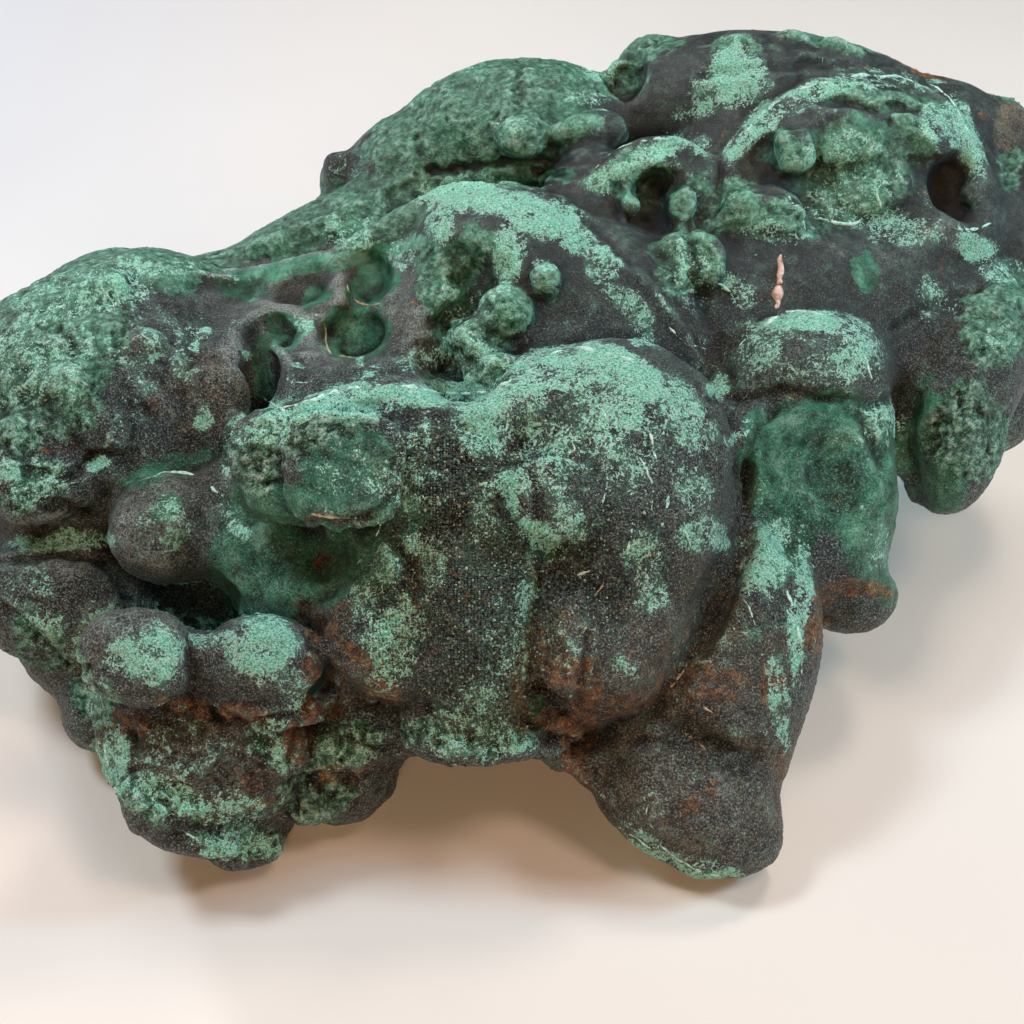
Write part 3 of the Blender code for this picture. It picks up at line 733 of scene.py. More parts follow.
MINT_DUST = (
    (470, 194, 52, 20, 0, 1), (540, 214, 52, 26, -15, 1), (440, 215, 16, 40, 0, .8), (505, 255, 22, 38, 0, .9),
    (576, 240, 30, 18, -30, .8), (602, 266, 20, 22, -40, .6), (630, 310, 14, 54, 40, .55), (645, 340, 16, 12, 0, .7),
    (400, 396, 62, 13, -5, 1), (350, 386, 40, 11, 10, .8), (424, 360, 30, 14, 20, .5), (458, 392, 60, 11, 0, 1),
    (545, 358, 44, 14, 20, .85), (560, 378, 62, 24, 10, .85), (622, 375, 72, 26, -20, .95), (684, 412, 30, 50, 25, .8),
    (486, 418, 34, 40, 0, .95), (540, 440, 40, 36, -30, .75), (610, 420, 44, 34, 10, .8), (560, 412, 60, 40, 0, .55), (622, 432, 60, 50, 0, .52), (512, 486, 14, 34, 8, .85), (536, 534, 30, 16, -20, .95), (572, 520, 18, 30, 25, .8), (545, 478, 34, 26, 0, .62),
    (552, 548, 20, 14, 0, .6), (692, 470, 26, 70, 10, .55), (700, 535, 30, 22, 0, .7), (645, 560, 24, 36, 0, .74),
    (650, 600, 20, 22, 0, .55), (622, 668, 16, 14, 0, .6), (600, 470, 60, 60, 0, .38), (590, 640, 50, 50, 0, .25),
    (800, 324, 64, 15, 0, .95), (852, 350, 36, 34, -40, .65), (762, 350, 30, 28, 30, .65), (800, 368, 40, 12, 15, .5),
    (720, 386, 14, 14, 0, .85), (732, 436, 20, 6, 0, .7), (700, 420, 10, 40, 15, .6), (800, 350, 80, 50, 0, .4),
    (760, 126, 56, 15, 42, .75), (822, 90, 62, 11, 12, .75), (900, 80, 70, 8, -8, .5), (964, 134, 18, 46, 15, .85),
    (940, 122, 24, 22, 0, .7), (890, 226, 62, 22, -12, .7), (840, 214, 40, 14, 0, .6), (976, 246, 28, 17, -20, 1),
    (782, 232, 40, 12, 0, .65), (925, 285, 22, 12, 0, .5), (800, 100, 30, 14, 20, .7), (735, 78, 36, 36, 10, .95),
    (700, 102, 44, 20, 25, .65), (640, 160, 62, 15, 27, .92), (700, 150, 20, 14, -30, .6), (600, 190, 16, 12, 0, .7),
    (145, 655, 44, 34, -10, .84), (222, 640, 44, 13, 0, .7), (262, 650, 42, 36, 0, .93), (292, 690, 20, 26, 0, .6),
    (395, 645, 34, 50, -15, .84), (400, 480, 40, 24, 0, .6), (490, 505, 26, 40, 0, .5), (372, 590, 30, 40, 0, .45), (432, 572, 16, 46, -10, .62), (420, 545, 20, 14, 0, .7),
    (526, 600, 13, 90, 0, .6), (500, 640, 24, 50, 0, .42), (462, 730, 54, 28, 0, .6), (505, 745, 36, 14, 0, .6),
    (380, 560, 26, 30, 0, .42), (418, 506, 26, 9, 0, .62), (420, 430, 14, 28, 0, .5), (480, 700, 40, 24, 0, .5),
    (764, 560, 30, 50, -15, .86), (800, 610, 11, 90, -3, .8), (778, 704, 13, 60, 8, .66), (690, 866, 66, 12, -14, .7),
    (640, 840, 44, 14, -38, .6), (690, 660, 24, 8, 0, .45), (652, 800, 20, 30, 0, .4), (720, 640, 50, 40, 0, .22),
    (64, 545, 60, 14, 4, .95), (165, 520, 50, 40, 0, .42), (30, 580, 30, 22, 0, .45), (36, 620, 44, 16, -20, .55), (190, 530, 20, 14, 0, .5),
    (230, 520, 12, 24, 50, .65), (165, 500, 20, 24, 0, .36), (30, 360, 64, 54, 0, .55), (110, 290, 46, 30, 0, .62),
    (150, 268, 60, 12, 0, .58), (150, 345, 70, 50, 0, .34), (50, 300, 50, 30, 0, .45), (200, 417, 12, 15, 0, .95), (197, 347, 8, 8, 0, .95),
    (205, 330, 8, 6, 0, .85), (155, 356, 11, 6, 0, .85), (97, 462, 13, 8, 0, .85), (32, 480, 54, 30, 0, .5),
    (130, 412, 20, 20, 0, .32), (245, 355, 10, 7, 0, .85), (298, 366, 6, 6, 0, .9), (360, 363, 8, 5, 0, .9),
    (381, 368, 6, 4, 0, .8), (302, 322, 20, 10, 0, .55), (402, 252, 14, 24, -20, .62), (225, 280, 34, 8, 0, .35),
    (330, 404, 72, 15, 10, .92), (268, 430, 42, 18, 10, .6), (386, 402, 30, 18, 0, .75), (342, 470, 40, 36, 0, .3),
    (110, 772, 18, 56, -12, .8), (170, 800, 50, 24, -20, .72), (240, 846, 46, 16, 0, .75), (230, 812, 40, 24, 0, .6), (180, 750, 60, 30, 0, .42),
    (272, 742, 20, 26, 30, .5), (1002, 268, 30, 13, 0, .65), (950, 300, 42, 20, 20, .45), (1002, 340, 20, 20, 0, .5),
    (882, 420, 26, 26, 0, .55), (835, 440, 14, 14, 0, .5), (880, 546, 16, 30, 0, .45), (600, 64, 20, 20, 0, .75),
    (592, 100, 30, 10, 0, .55), (440, 82, 62, 20, 20, .32), (345, 232, 32, 24, 0, .55), (690, 300, 40, 22, 0, .36),
    (738, 290, 30, 14, -25, .6), (512, 125, 16, 10, 0, .5), (345, 172, 22, 18, 0, .4), (690, 262, 30, 26, 0, .42),
    (850, 168, 60, 46, 0, .4), (350, 746, 42, 26, 20, .4), (470, 330, 44, 60, 20, .4), (545, 264, 14, 8, 0, .6),
)
RUST = (
    (212, 712, 62, 10, -8, .95), (122, 735, 30, 24, 30, .5), (312, 690, 11, 40, 0, .75), (300, 742, 16, 20, 40, .85),
    (260, 806, 22, 6, 0, .9), (330, 692, 24, 24, 0, .75), (360, 656, 42, 10, -32, .7), (386, 690, 26, 10, -35, .95),
    (325, 632, 20, 14, 0, .65), (340, 775, 30, 9, 0, .6), (562, 672, 34, 18, 0, .95), (586, 704, 13, 52, 0, 1),
    (540, 650, 14, 30, 0, .65), (572, 742, 16, 32, 0, .85), (770, 685, 13, 32, 0, .7), (700, 682, 60, 26, 0, .42),
    (816, 632, 13, 20, -20, .95), (860, 590, 38, 11, 0, .9), (814, 600, 16, 10, 0, .6), (455, 726, 20, 13, 0, .6),
    (520, 700, 11, 52, 0, .6), (577, 772, 9, 32, 20, .6), (700, 800, 32, 9, 45, .42),
    (930, 74, 20, 5, -20, .8), (318, 560, 12, 9, 0, .8), (60, 446, 22, 5, 0, .4), (640, 700, 40, 12, 20, .5),
    (560, 720, 30, 12, 0, .9), (430, 600, 40, 60, 0, .2), (250, 780, 40, 16, 0, .4), (780, 760, 10, 30, 0, .5),
)
SMOKY_BROWN = (
    (640, 655, 105, 80, 0, .85), (560, 640, 40, 50, 0, .7), (694, 600, 36, 60, 20, .6), (700, 765, 112, 112, 0, .95),
    (732, 660, 70, 60, 0, .85), (620, 800, 60, 60, 0, .85), (200, 762, 94, 60, 0, .85), (340, 602, 72, 20, 15, .8),
    (200, 392, 62, 50, 0, .5), (140, 350, 30, 24, 0, .5), (1010, 122, 17, 38, 0, 1), (470, 720, 62, 30, 0, .5),
    (440, 452, 62, 30, 0, .5), (270, 548, 20, 34, 20, .7), (110, 600, 60, 18, 0, .4), 
    (360, 680, 50, 30, 0, .6), (100, 640, 30, 40, 20, .4), (292, 508, 40, 16, -15, .7), (820, 400, 70, 14, 0, .6),
)
SUGARY = (
    (462, 560, 70, 110, 14, .7), (410, 600, 44, 74, -12, .8), (610, 560, 80, 70, 20, .45), (560, 470, 60, 90, 0, .3), (500, 650, 60, 60, 0, .8), (440, 470, 72, 50, 0, .9), (420, 522, 42, 40, 0, .75),
    (565, 560, 60, 66, 0, .35), (480, 702, 62, 40, 0, .85), (390, 640, 30, 40, 0, .8), (340, 740, 40, 20, 0, .4),
)
OLIVE = ((490, 540, 36, 38, 0, 1), (470, 610, 16, 40, 0, .5), (478, 660, 20, 30, 0, .5), (700, 680, 60, 40, 0, .25))
PALE_GREY = (
    (165, 515, 66, 60, 0, 1), (50, 545, 70, 36, 0, 1), (150, 640, 70, 46, 0, .6), (262, 640, 60, 30, 0, .5), (60, 545, 70, 30, 0, .6),
    (620, 590, 60, 80, 0, .35), (120, 610, 50, 20, 0, .6), (700, 790, 100, 70, 0, .5), (420, 388, 70, 14, 0, .7),
    (300, 285, 120, 40, 8, .9), (320, 330, 60, 44, 0, .9), (250, 350, 40, 50, 0, .6), (400, 310, 40, 50, 0, .6),
    (390, 350, 60, 22, 15, .6), (720, 210, 60, 40, 0, .3), (900, 240, 80, 30, 0, .4),
    (150, 350, 60, 60, 0, .35), (600, 830, 60, 30, -30, .35), (150, 640, 60, 40, 0, .4), (560, 330, 80, 40, 0, .25),
)
GRITTY = (
    (40, 482, 62, 48, 0, .9), (110, 436, 42, 46, 0, .8), (165, 380, 74, 62, 0, .75), (200, 765, 104, 78, 0, 1), (700, 765, 110, 110, 0, .35), (140, 650, 50, 40, 0, .4),
    (350, 765, 62, 50, 0, .8), (470, 735, 74, 32, 0, .9), (440, 452, 66, 44, 0, .9), (300, 440, 74, 44, 0, 1),
    (240, 842, 62, 30, 0, .7), (40, 625, 62, 44, 0, .55), (455, 330, 62, 62, 0, .4), (1010, 122, 20, 42, 0, .7),
    (690, 262, 42, 38, 0, .6), (500, 200, 90, 24, 0, .5), (350, 650, 60, 40, 0, .4), (700, 200, 60, 60, 0, .25),
)
# name: ovals, then for the unseen sides: patch size (mm), threshold, and how soft it is
FINISHES = {
    "rough_green": (ROUGH_GREEN, 48, 0.05, 0.5),
    "smooth_green": (SMOOTH_GREEN, 40, 0.45, 0.4),
    "mint": (MINT_DUST, 30, 0.1, 0.9),
    "rust": (RUST, 26, 0.7, 0.3),
    "brown": (SMOKY_BROWN, 44, 0.2, 0.4),
    "sugary": (SUGARY, 34, 0.6, 0.4),
    "olive": (OLIVE, 40, 0.8, 0.4),
    "pale": (PALE_GREY, 30, 0.3, 0.6),
    "gritty": (GRITTY, 36, 0.1, 0.7),
}
SOFT_SHARE = 0.55
SPREAD = 1.25


def inside_square(across, down, oval):
    """The numbers of the points in the upright square round an oval, the only ones it can reach."""
    reach = SPREAD * max(oval[2], oval[3])
    return np.nonzero((np.abs(across - oval[0]) < reach) & (np.abs(down - oval[1]) < reach))[0]


def finish_shares(points, normals):
    """For each finish, 0 to 1 at every point: the strongest oval there, or noise where unseen."""
    across, down = warped_chart(points)
    shown = seen_from_eye(points, normals, 34.0)
    shares = {}
    for seed, (name, (ovals, size, threshold, soft)) in enumerate(FINISHES.items()):
        share = np.zeros(len(points))
        for *oval, strength in ovals:
            near = inside_square(across, down, oval)
            distance = oval_distance(across[near], down[near], oval) / SPREAD
            here = strength * stamped(distance, SOFT_SHARE)
            share[near] = np.maximum(share[near], here)
        spread = layered_noise(points, size, 3, 0.5, 100 + 7 * seed) - threshold
        wild = np.clip(0.5 + spread / soft, 0, 1) * 0.9
        shares[name] = shown * share + (1 - shown) * wild
    return shares


shares = finish_shares(skin, normals_of(skin, quads))
print("mean share:", {name: round(float(share.mean()), 2) for name, share in shares.items()})

# %% [markdown]
# ## Relief
#
# Each finish has its own surface. Green crystals are knobbly, with sharp little hollows. The
# green glaze is smooth, with terraces where layer after layer broke. The hump is like coarse
# sugar, and the dark velvet only rolls a little. The relief moves each point along its normal.

# %% Relief
TERRACE = 0.5
SHELL_CENTRE = (836, 470)


def relief(points, shares):
    """Millimetres outwards: rolling noise, plus each finish's own noise times its share."""
    roll = 0.65 * layered_noise(points, 16, 3, 0.5, 3) + 0.14 * layered_noise(points, 4, 3, 0.55, 5)
    bend = 2.2 * np.stack([layered_noise(points, 7, 2, 0.5, seed) for seed in (11, 13, 17)], -1)
    knobs = 0.62 - cell_distance(points + bend, 4.4, 21)
    buds = 0.60 - cell_distance(points + 0.5 * bend, 2.0, 31)
    creases = 0.35 - np.abs(layered_noise(points + bend, 11, 5, 0.6, 43))
    chips = np.clip(layered_noise(points, 7, 4, 0.6, 41) - 0.3, 0, 1)
    patch = np.clip(0.55 + 1.2 * layered_noise(points, 20, 3, 0.5, 47), 0.12, 1.5)
    crystals = patch * (0.7 * knobs + 1.1 * buds) + 1.4 * creases - 2.6 * chips
    grains = 0.9 * (0.55 - cell_distance(points + 0.3 * bend, 2.2, 61)) + 0.9 * layered_noise(points, 8, 4, 0.55, 67)
    across, down, _ = to_chart(points)
    front = np.clip((down - 260) / 200, 0, 1)
    reach = np.hypot(across - SHELL_CENTRE[0], down - SHELL_CENTRE[1]) / STEPS_PER_MM
    layers = (reach + 2.5 * layered_noise(points, 12, 3, 0.5, 71)) / 5
    step = layers - np.floor(layers)
    terraces = TERRACE * (np.clip(step * 4, 0, 1) - step)
    near_shell = np.clip(2 - reach / 22, 0, 1)
    rough = np.clip(shares["rough_green"] * 1.3, 0, 1)
    smooth = shares["smooth_green"] * (1 - rough)
    sugary = shares["sugary"] * (1 - rough)
    flow = 0.35 * layered_noise(points * (1, 1, 0.4), 4, 3, 0.5, 73)
    rusty = 0.6 * shares["rust"] * layered_noise(points, 4, 3, 0.6, 77)
    dusty = 0.25 * shares["mint"] * (layered_noise(points, 3.2, 2, 0.5, 79) > 0.1)
    gritty = shares["gritty"] * (1.5 * creases + 0.5 * buds + 1.4 * layered_noise(points, 10, 3, 0.55, 91))
    fine = front * (0.22 * layered_noise(points, 2.6, 3, 0.6, 97) + 0.30 * layered_noise(points, 7, 3, 0.6, 99))
    return (roll + fine + rough * crystals * (0.5 + 0.35 * front) + sugary * grains * 0.9 + rusty + dusty
            + gritty * (0.6 + 0.4 * front)
            + smooth * (terraces * near_shell + flow * 0.5)
            + shares["brown"] * 0.22 * layered_noise(points, 9, 3, 0.5, 83))


# the lowest points are eased up, so that nothing sinks into the floor (mm)
FLOOR_GAP = 0.6
normals = normals_of(skin, quads)
height = relief(skin, shares)
skin = skin + normals * height[:, None]
low = skin[:, 2] < FLOOR_GAP
skin[low, 2] = FLOOR_GAP * np.exp(skin[low, 2] / FLOOR_GAP - 1)
print("relief, mm:", round(float(height.min()), 2), "to", round(float(height.max()), 2))

# %% [markdown]
# ## Thinning and dressing the mesh
#
# A stone has no use for points that nobody sees from close by. The Decimate modifier folds up
# the triangles that matter least, and only among the points of its vertex group, which here is
# the side turned away from the eye. Then each point is given its finish shares, how far it
# stands out from the skin round it and how far it is walled in, as attributes that the material
# reads. The material uses them for mint powder on the crests, for painted shade in the hollows
# and clefts, and for painted highlight on the ridges.

# %% Thinning the far side
FAR_SIDE_KEPT = 0.22


def thinned(points, quads, kept):
    """The skin as triangles, with only that share of them left where the eye doesn't see."""
    mesh = mesh_of("fine skin", points, as_triangles(quads))
    carrier = bpy.data.objects.new("carrier", mesh)
    group = carrier.vertex_groups.new(name="thin")
    shown = seen_from_eye(points, normals_of(points, quads), 12.0)
    group.add(np.nonzero(shown < 0.1)[0].tolist(), 1.0, "REPLACE")
    bpy.context.scene.collection.objects.link(carrier)
    modifier = carrier.modifiers.new("thin", "DECIMATE")
    modifier.ratio = 1 - (1 - kept) * float((shown < 0.1).mean())
    modifier.vertex_group = group.name
    graph = bpy.context.evaluated_depsgraph_get()
    made = bpy.data.meshes.new_from_object(carrier.evaluated_get(graph))
    bpy.data.objects.remove(carrier)
    bpy.data.meshes.remove(mesh)
    result = arrays_of(made, 3)
    bpy.data.meshes.remove(made)
    return result


points, triangles = thinned(skin, quads, FAR_SIDE_KEPT)
print("thinned to", len(triangles), "triangles")

# %% Shares on the final points


def smoothed_copy(points, edges, rounds):
    """Every round moves each point halfway to its neighbours' mean."""
    for _ in range(rounds):
        points = 0.5 * (points + neighbour_mean(points, edges, len(points)))
    return points


edges = edges_of(triangles)
normals = normals_of(points, triangles)
shares = finish_shares(points, normals)
for name, rounds, scale in (("ridge", 10, 0.5), ("swell", 70, 2.4)):
    smooth = smoothed_copy(points, edges, rounds)
    shares[name] = np.clip(((points - smooth) * normals).sum(1) / scale, -1, 1)


def walled_in(points, normals, reach):
    """How far a point is walled in by the skin within reach. With n the normal at a point q
    nearby, n . (p - q) / reach is positive where the skin at q looks towards p. The points are
    sorted into cubes that sum n, n . q and the count, and blurred sums give the mean at p."""
    cube = reach / 3
    index = np.floor((points - points.min(0)) / cube).astype(int) + 3
    shape = index.max(0) + 4
    flat = np.ravel_multi_index(tuple(index.T), shape)
    sums = []
    for weight in (np.ones(len(points)), (normals * points).sum(1), *normals.T):
        field = np.bincount(flat, weight, minlength=shape.prod()).reshape(shape)
        for axis in range(3):
            field = sum(part * np.roll(field, step, axis)
                        for step, part in ((-2, 1), (-1, 2), (0, 3), (1, 2), (2, 1)))
        sums.append(field.ravel()[flat])
    count, inner, *along = sums
    return ((np.stack(along, -1) * points).sum(1) - inner) / count / reach


# How walled in each point is: the material paints shade into the clefts with it, darker the more walled in a point is.
walled = walled_in(points, normals, 9.0)
for _ in range(6):
    walled = 0.5 * (walled + neighbour_mean(walled[:, None], edges, len(points))[:, 0])
shares["cleft"] = np.clip(0.25 + walled * 2, 0, 1)
_, down, _ = to_chart(points)
shares["front"] = np.clip((down - 260) / 200, 0, 1)
print("cleft share:", np.percentile(shares["cleft"], (5, 25, 50, 75, 95)).round(2))

# %% [markdown]
# ## Cutting the skin into blocks
#
# One mesh of this many triangles is slow to handle, so the skin is cut into blocks by upright
# planes, as a mason would saw it. Each block is closed by a flat cap, and the caps of two
# neighbours meet inside the stone, where nobody sees them. The shares are carried through the
# cut as attributes, and so is each point's true normal, which is put back afterwards so that
# light runs on across the joint.

# %% Blocks
import bmesh

TRUE_NORMAL = "true_normal"


def dressed(name, points, faces, normals, shares):
    """A mesh whose points carry the shares and their normal as named attributes."""
    mesh = mesh_of(name, points, faces)
    for key, share in shares.items():
        attribute = mesh.attributes.new(key, "FLOAT", "POINT")
        attribute.data.foreach_set("value", share.astype(np.float32))
    attribute = mesh.attributes.new(TRUE_NORMAL, "FLOAT_VECTOR", "POINT")
    attribute.data.foreach_set("vector", normals.astype(np.float32).ravel())
    return mesh


def sawn(mesh, name, low, high):
    """The part of a mesh between two upright planes, x = low and x = high in millimetres,
    closed with flat caps."""
    block = bmesh.new()
    block.from_mesh(mesh)
    for limit, side in ((low, -1), (high, 1)):
        if limit is None:
            continue
        cut = bmesh.ops.bisect_plane(block, geom=block.verts[:] + block.edges[:] + block.faces[:],
                                     plane_co=(limit * MM, 0, 0), plane_no=(side, 0, 0), clear_outer=True)
        loops = [e for e in cut["geom_cut"] if isinstance(e, bmesh.types.BMEdge)]
        bmesh.ops.triangle_fill(block, edges=loops, normal=(side, 0, 0))
    block_mesh = bpy.data.meshes.new(name)
    block.to_mesh(block_mesh)
    block.free()
    return block_mesh


def lit_as_whole(mesh):
    """Puts the whole skin's normals back on a block, and drops the attribute they came in."""
    normals = np.empty(len(mesh.vertices) * 3, np.float32)
    mesh.attributes[TRUE_NORMAL].data.foreach_get("vector", normals)
    mesh.shade_smooth()
    mesh.normals_split_custom_set_from_vertices(normals.reshape(-1, 3).tolist())
    mesh.attributes.remove(mesh.attributes[TRUE_NORMAL])


whole = dressed("whole_skin", points, triangles, normals, shares)
SAW_CUTS = (-94.5, -38.5, 19, 76)
limits = (None, *SAW_CUTS, None)
stones = []
for number, (low, high) in enumerate(zip(limits, limits[1:]), 1):
    mesh = sawn(whole, f"malachite_skin_{number}", low, high)
    lit_as_whole(mesh)
    stone = bpy.data.objects.new(mesh.name, mesh)
    bpy.context.scene.collection.objects.link(stone)
    stones.append(stone)
    print(mesh.name, len(mesh.polygons), "triangles, open edges:", 2 * len(mesh.edges) - len(mesh.loops))
bpy.data.meshes.remove(whole)

# %% [markdown]
# ## Threads, the quartz vein and loose grains
#
# Water ran down the stone and dried in raised threads of pale mint; roots and scratches left the
# finer ones, and lime the brown ones. Each is a thin tube carried over the finished skin. A pink
# quartz vein comes out above the right knob. Over the hump and the crusts lie loose grains, each
# an icosahedron of twenty faces: thousands of them must stay cheap.

# %% Threads
finished = BVHTree.FromPolygons(points.tolist(), triangles.tolist())
THREAD_STEP = 2.5


def lying_out(across, down):
    """How far out the finished skin stands at each chart place. Where a sight line misses the
    skin, the heights on both sides are joined; None if all of them miss."""
    outs = []
    for a, d in zip(across, down):
        hit = finished.ray_cast(EYE.tolist(), (from_chart(a, d, 0.0) - EYE).tolist())[0]
        outs.append(np.nan if hit is None else float((np.array(hit) - PLANE_MIDDLE) @ OUT))
    outs = np.array(outs)
    met = np.nonzero(~np.isnan(outs))[0]
    return np.interp(np.arange(len(outs)), met, outs[met]) if len(met) else None


def thread(seed, radius, *places, broken=1.0):
    """A tube along the route over the skin. It wanders by a step, its radius is broken up by
    noise, and it narrows to nothing at both ends."""
    route = smooth_route(places)
    gone = np.concatenate(([0], np.cumsum(np.hypot(*np.diff(route, axis=0).T))))
    count = max(int(gone[-1] / THREAD_STEP), 6)
    at = np.linspace(0, gone[-1], count)
    across, down = (np.interp(at, gone, column) for column in route.T)
    flat = np.stack((across, down, np.zeros(count)), -1)
    across = across + 1.3 * layered_noise(flat, 9, 2, 0.5, seed)
    down = down + 1.3 * layered_noise(flat, 9, 2, 0.5, seed + 1)
    out = lying_out(across, down)
    if out is None:
        print("no skin under the thread from", places[0])
        return None
    padded = np.pad(out, 2, "edge")
    out = np.median(np.stack([padded[i:i + count] for i in range(5)]), axis=0)
    dashes = layered_noise(flat, 7, 3, 0.6, seed + 2) * broken
    centres = from_chart(across, down, out - 0.55 * radius * broken - 1.8 * radius * np.clip(-dashes, 0, 1))
    along = np.gradient(centres, axis=0)
    along /= np.linalg.norm(along, axis=1, keepdims=True)
    side = np.cross(along, OUT)
    side /= np.linalg.norm(side, axis=1, keepdims=True)
    size = np.clip(radius * (0.55 + 0.9 * dashes), 0.08, None) * np.sqrt(np.clip(np.sin(math.pi * np.linspace(0, 1, count)), 0.05, 1))
    angle = np.linspace(0, 2 * math.pi, 6, endpoint=False)
    circle = (np.cos(angle)[None, :, None] * side[:, None] + np.sin(angle)[None, :, None] * np.cross(side, along)[:, None])
    rings = centres[:, None] + circle * size[:, None, None]
    shell, faces = closed_skin(rings, centres[0], centres[-1])
    return shell, faces[:, ::-1]


def gathered(name, parts):
    """One object out of many closed surfaces."""
    shells, faces, used = [], [], 0
    parts = [part for part in parts if part is not None]
    for shell, part_faces in parts:
        shells.append(shell)
        faces.append(part_faces + used)
        used += len(shell)
    mesh = mesh_of(name, np.concatenate(shells), np.concatenate(faces))
    mesh.shade_smooth()
    piece = bpy.data.objects.new(name, mesh)
    bpy.context.scene.collection.objects.link(piece)
    lowest = min(shell[:, 2].min() for shell in shells)
    print(name, len(parts), "parts,", len(mesh.polygons), "faces, lowest point", round(float(lowest), 1), "mm")
    return piece


# radius (mm), then the chart places the thread passes
MINT_THREADS = (
    (0.50, (634, 517), (628, 544), (620, 571)), (0.65, (599, 567), (577, 576), (555, 587)),
    (0.45, (610, 467), (606, 488), (602, 506)), (0.55, (670, 490), (666, 512), (658, 540)),
    (0.35, (591, 392), (604, 414), (611, 441), (612, 462)), (0.35, (612, 464), (628, 462), (640, 468), (649, 488)),
    (0.35, (630, 446), (643, 464), (653, 489), (651, 516)), (0.40, (645, 413), (653, 446), (658, 470)),
    (0.35, (506, 400), (507, 418), (505, 436)), (0.50, (537, 439), (530, 457)), (0.35, (591, 467), (590, 494)),
    (0.35, (688, 455), (700, 478), (706, 500)), (0.30, (570, 430), (574, 447), (571, 462)),
    (0.35, (640, 540), (648, 552), (646, 572)), (0.40, (680, 520), (690, 545), (688, 570)),
    (0.90, (262, 414), (300, 404), (330, 395), (360, 388), (392, 385), (425, 391), (460, 394), (492, 391),
     (516, 379), (540, 364)),
    (0.80, (546, 356), (570, 350), (600, 352), (630, 362), (652, 378)),
    (0.60, (140, 480), (168, 473), (196, 476), (212, 488), (238, 508)), (0.50, (244, 396), (264, 399), (287, 415)),
    (0.60, (237, 517), (226, 528), (216, 540)), (0.40, (295, 383), (312, 382), (325, 370)),
    (0.35, (290, 385), (299, 373)), (0.40, (102, 289), (114, 307), (111, 320)),
    (0.50, (10, 330), (36, 313), (62, 307), (92, 296)), (0.40, (152, 262), (182, 263), (206, 273), (240, 281)),
    (0.80, (788, 196), (797, 212), (805, 230)), (0.45, (876, 192), (883, 214)),
    (0.60, (815, 217), (847, 225), (876, 210)), (0.70, (923, 221), (966, 230), (1010, 216)),
    (0.70, (732, 354), (746, 340), (764, 328), (790, 311), (830, 318)), (0.50, (842, 330), (862, 352), (872, 380)),
    (0.75, (726, 176), (740, 146), (760, 116), (790, 94), (824, 83), (862, 76), (912, 80), (946, 96), (972, 138)),
    (0.50, (664, 322), (682, 340), (708, 350)), (0.50, (714, 282), (742, 296)),
    (0.45, (590, 176), (604, 160), (630, 144), (664, 140), (694, 156)),
    (0.70, (781, 572), (793, 611), (801, 655), (799, 696)), (0.60, (656, 843), (683, 862), (707, 872), (736, 876)),
    (0.50, (612, 822), (636, 838), (656, 850)), (0.30, (651, 798), (647, 818), (656, 832)),
    (0.30, (738, 591), (750, 612), (758, 631)), (0.35, (352, 570), (363, 557)), (0.40, (376, 537), (383, 520)),

    (0.50, (100, 720), (106, 752), (112, 784), (130, 808)), (0.40, (150, 818), (186, 834), (226, 856)),
)
BROWN_THREADS = (
    (0.38, (613, 571), (600, 588), (588, 615), (580, 640), (571, 657)), (0.35, (690, 659), (680, 676), (656, 706)),
    (0.60, (297, 503), (314, 514), (341, 517), (367, 516), (386, 500)), (0.45, (697, 703), (714, 714)),
    (0.35, (354, 432), (358, 441), (364, 450)), (0.35, (670, 723), (704, 748), (717, 770)),
    (0.60, (350, 268), (348, 290), (362, 305), (382, 302), (396, 284)), (0.50, (324, 318), (330, 352), (356, 358)),
)
mint_threads = gathered("mint_threads", [thread(500 + 3 * i, *form) for i, form in enumerate(MINT_THREADS)])
brown_threads = gathered("brown_threads", [thread(900 + 3 * i, *form) for i, form in enumerate(BROWN_THREADS)])
QUARTZ = ((2.2, (781, 252), (780, 272), (779, 290), (777, 312)), (2.8, (780, 278), (778, 294), (777, 310)))
quartz_vein = gathered("quartz_vein", [thread(960 + 3 * i, *form, broken=0.3) for i, form in enumerate(QUARTZ)])

# %% Grains
GRAIN_COUNT = 9000
GOLDEN = (1 + math.sqrt(5)) / 2
CORNERS = np.array([(0, a, b * GOLDEN) for a in (-1, 1) for b in (-1, 1)])
CORNERS = np.concatenate([np.roll(CORNERS, turn, axis=1) for turn in range(3)]) / math.sqrt(1 + GOLDEN**2)


def hull_faces(corners):
    """The triangles of a ball-like solid: every three corners that are all one edge apart,
    wound so that they face out."""
    apart = np.linalg.norm(corners[:, None] - corners[None], axis=-1)
    edge = apart[apart > 0].min() * 1.01
    faces = []
    for a in range(len(corners)):
        for b in range(a + 1, len(corners)):
            for c in range(b + 1, len(corners)):
                if max(apart[a, b], apart[b, c], apart[a, c]) < edge:
                    out = np.dot(np.cross(corners[b] - corners[a], corners[c] - corners[a]), corners[a]) > 0
                    faces.append((a, b, c) if out else (a, c, b))
    return np.array(faces)


def scattered(count, wish, seed):
    """Grains on the skin: places drawn with chances in proportion to the wish, each grain turned
    at random, stretched a little and sunk a third of its size."""
    dice = np.random.default_rng(seed)
    chosen = dice.choice(len(points), count, replace=False, p=wish / wish.sum())
    size = dice.uniform(0.16, 0.40, count) * (1 + 0.4 * (dice.random(count) > 0.95))
    turned = np.linalg.qr(dice.normal(size=(count, 3, 3)))[0]
    flip = np.sign(np.linalg.det(turned))
    turned[:, :, 0] *= flip[:, None]
    stretch = dice.uniform(0.75, 1.25, (count, 1, 3))
    shells = np.einsum("nij,nkj->nki", turned, CORNERS[None] * stretch) * size[:, None, None]
    shells += (points[chosen] + normals[chosen] * (size * 0.35)[:, None])[:, None]
    faces = hull_faces(CORNERS)[None] + np.arange(count)[:, None, None] * len(CORNERS)
    mesh = mesh_of("loose_grains", shells.reshape(-1, 3), faces.reshape(-1, 3))
    tint = mesh.attributes.new("tint", "FLOAT", "POINT")
    tint.data.foreach_set("value", np.repeat(dice.random(count), len(CORNERS)).astype(np.float32))
    return mesh


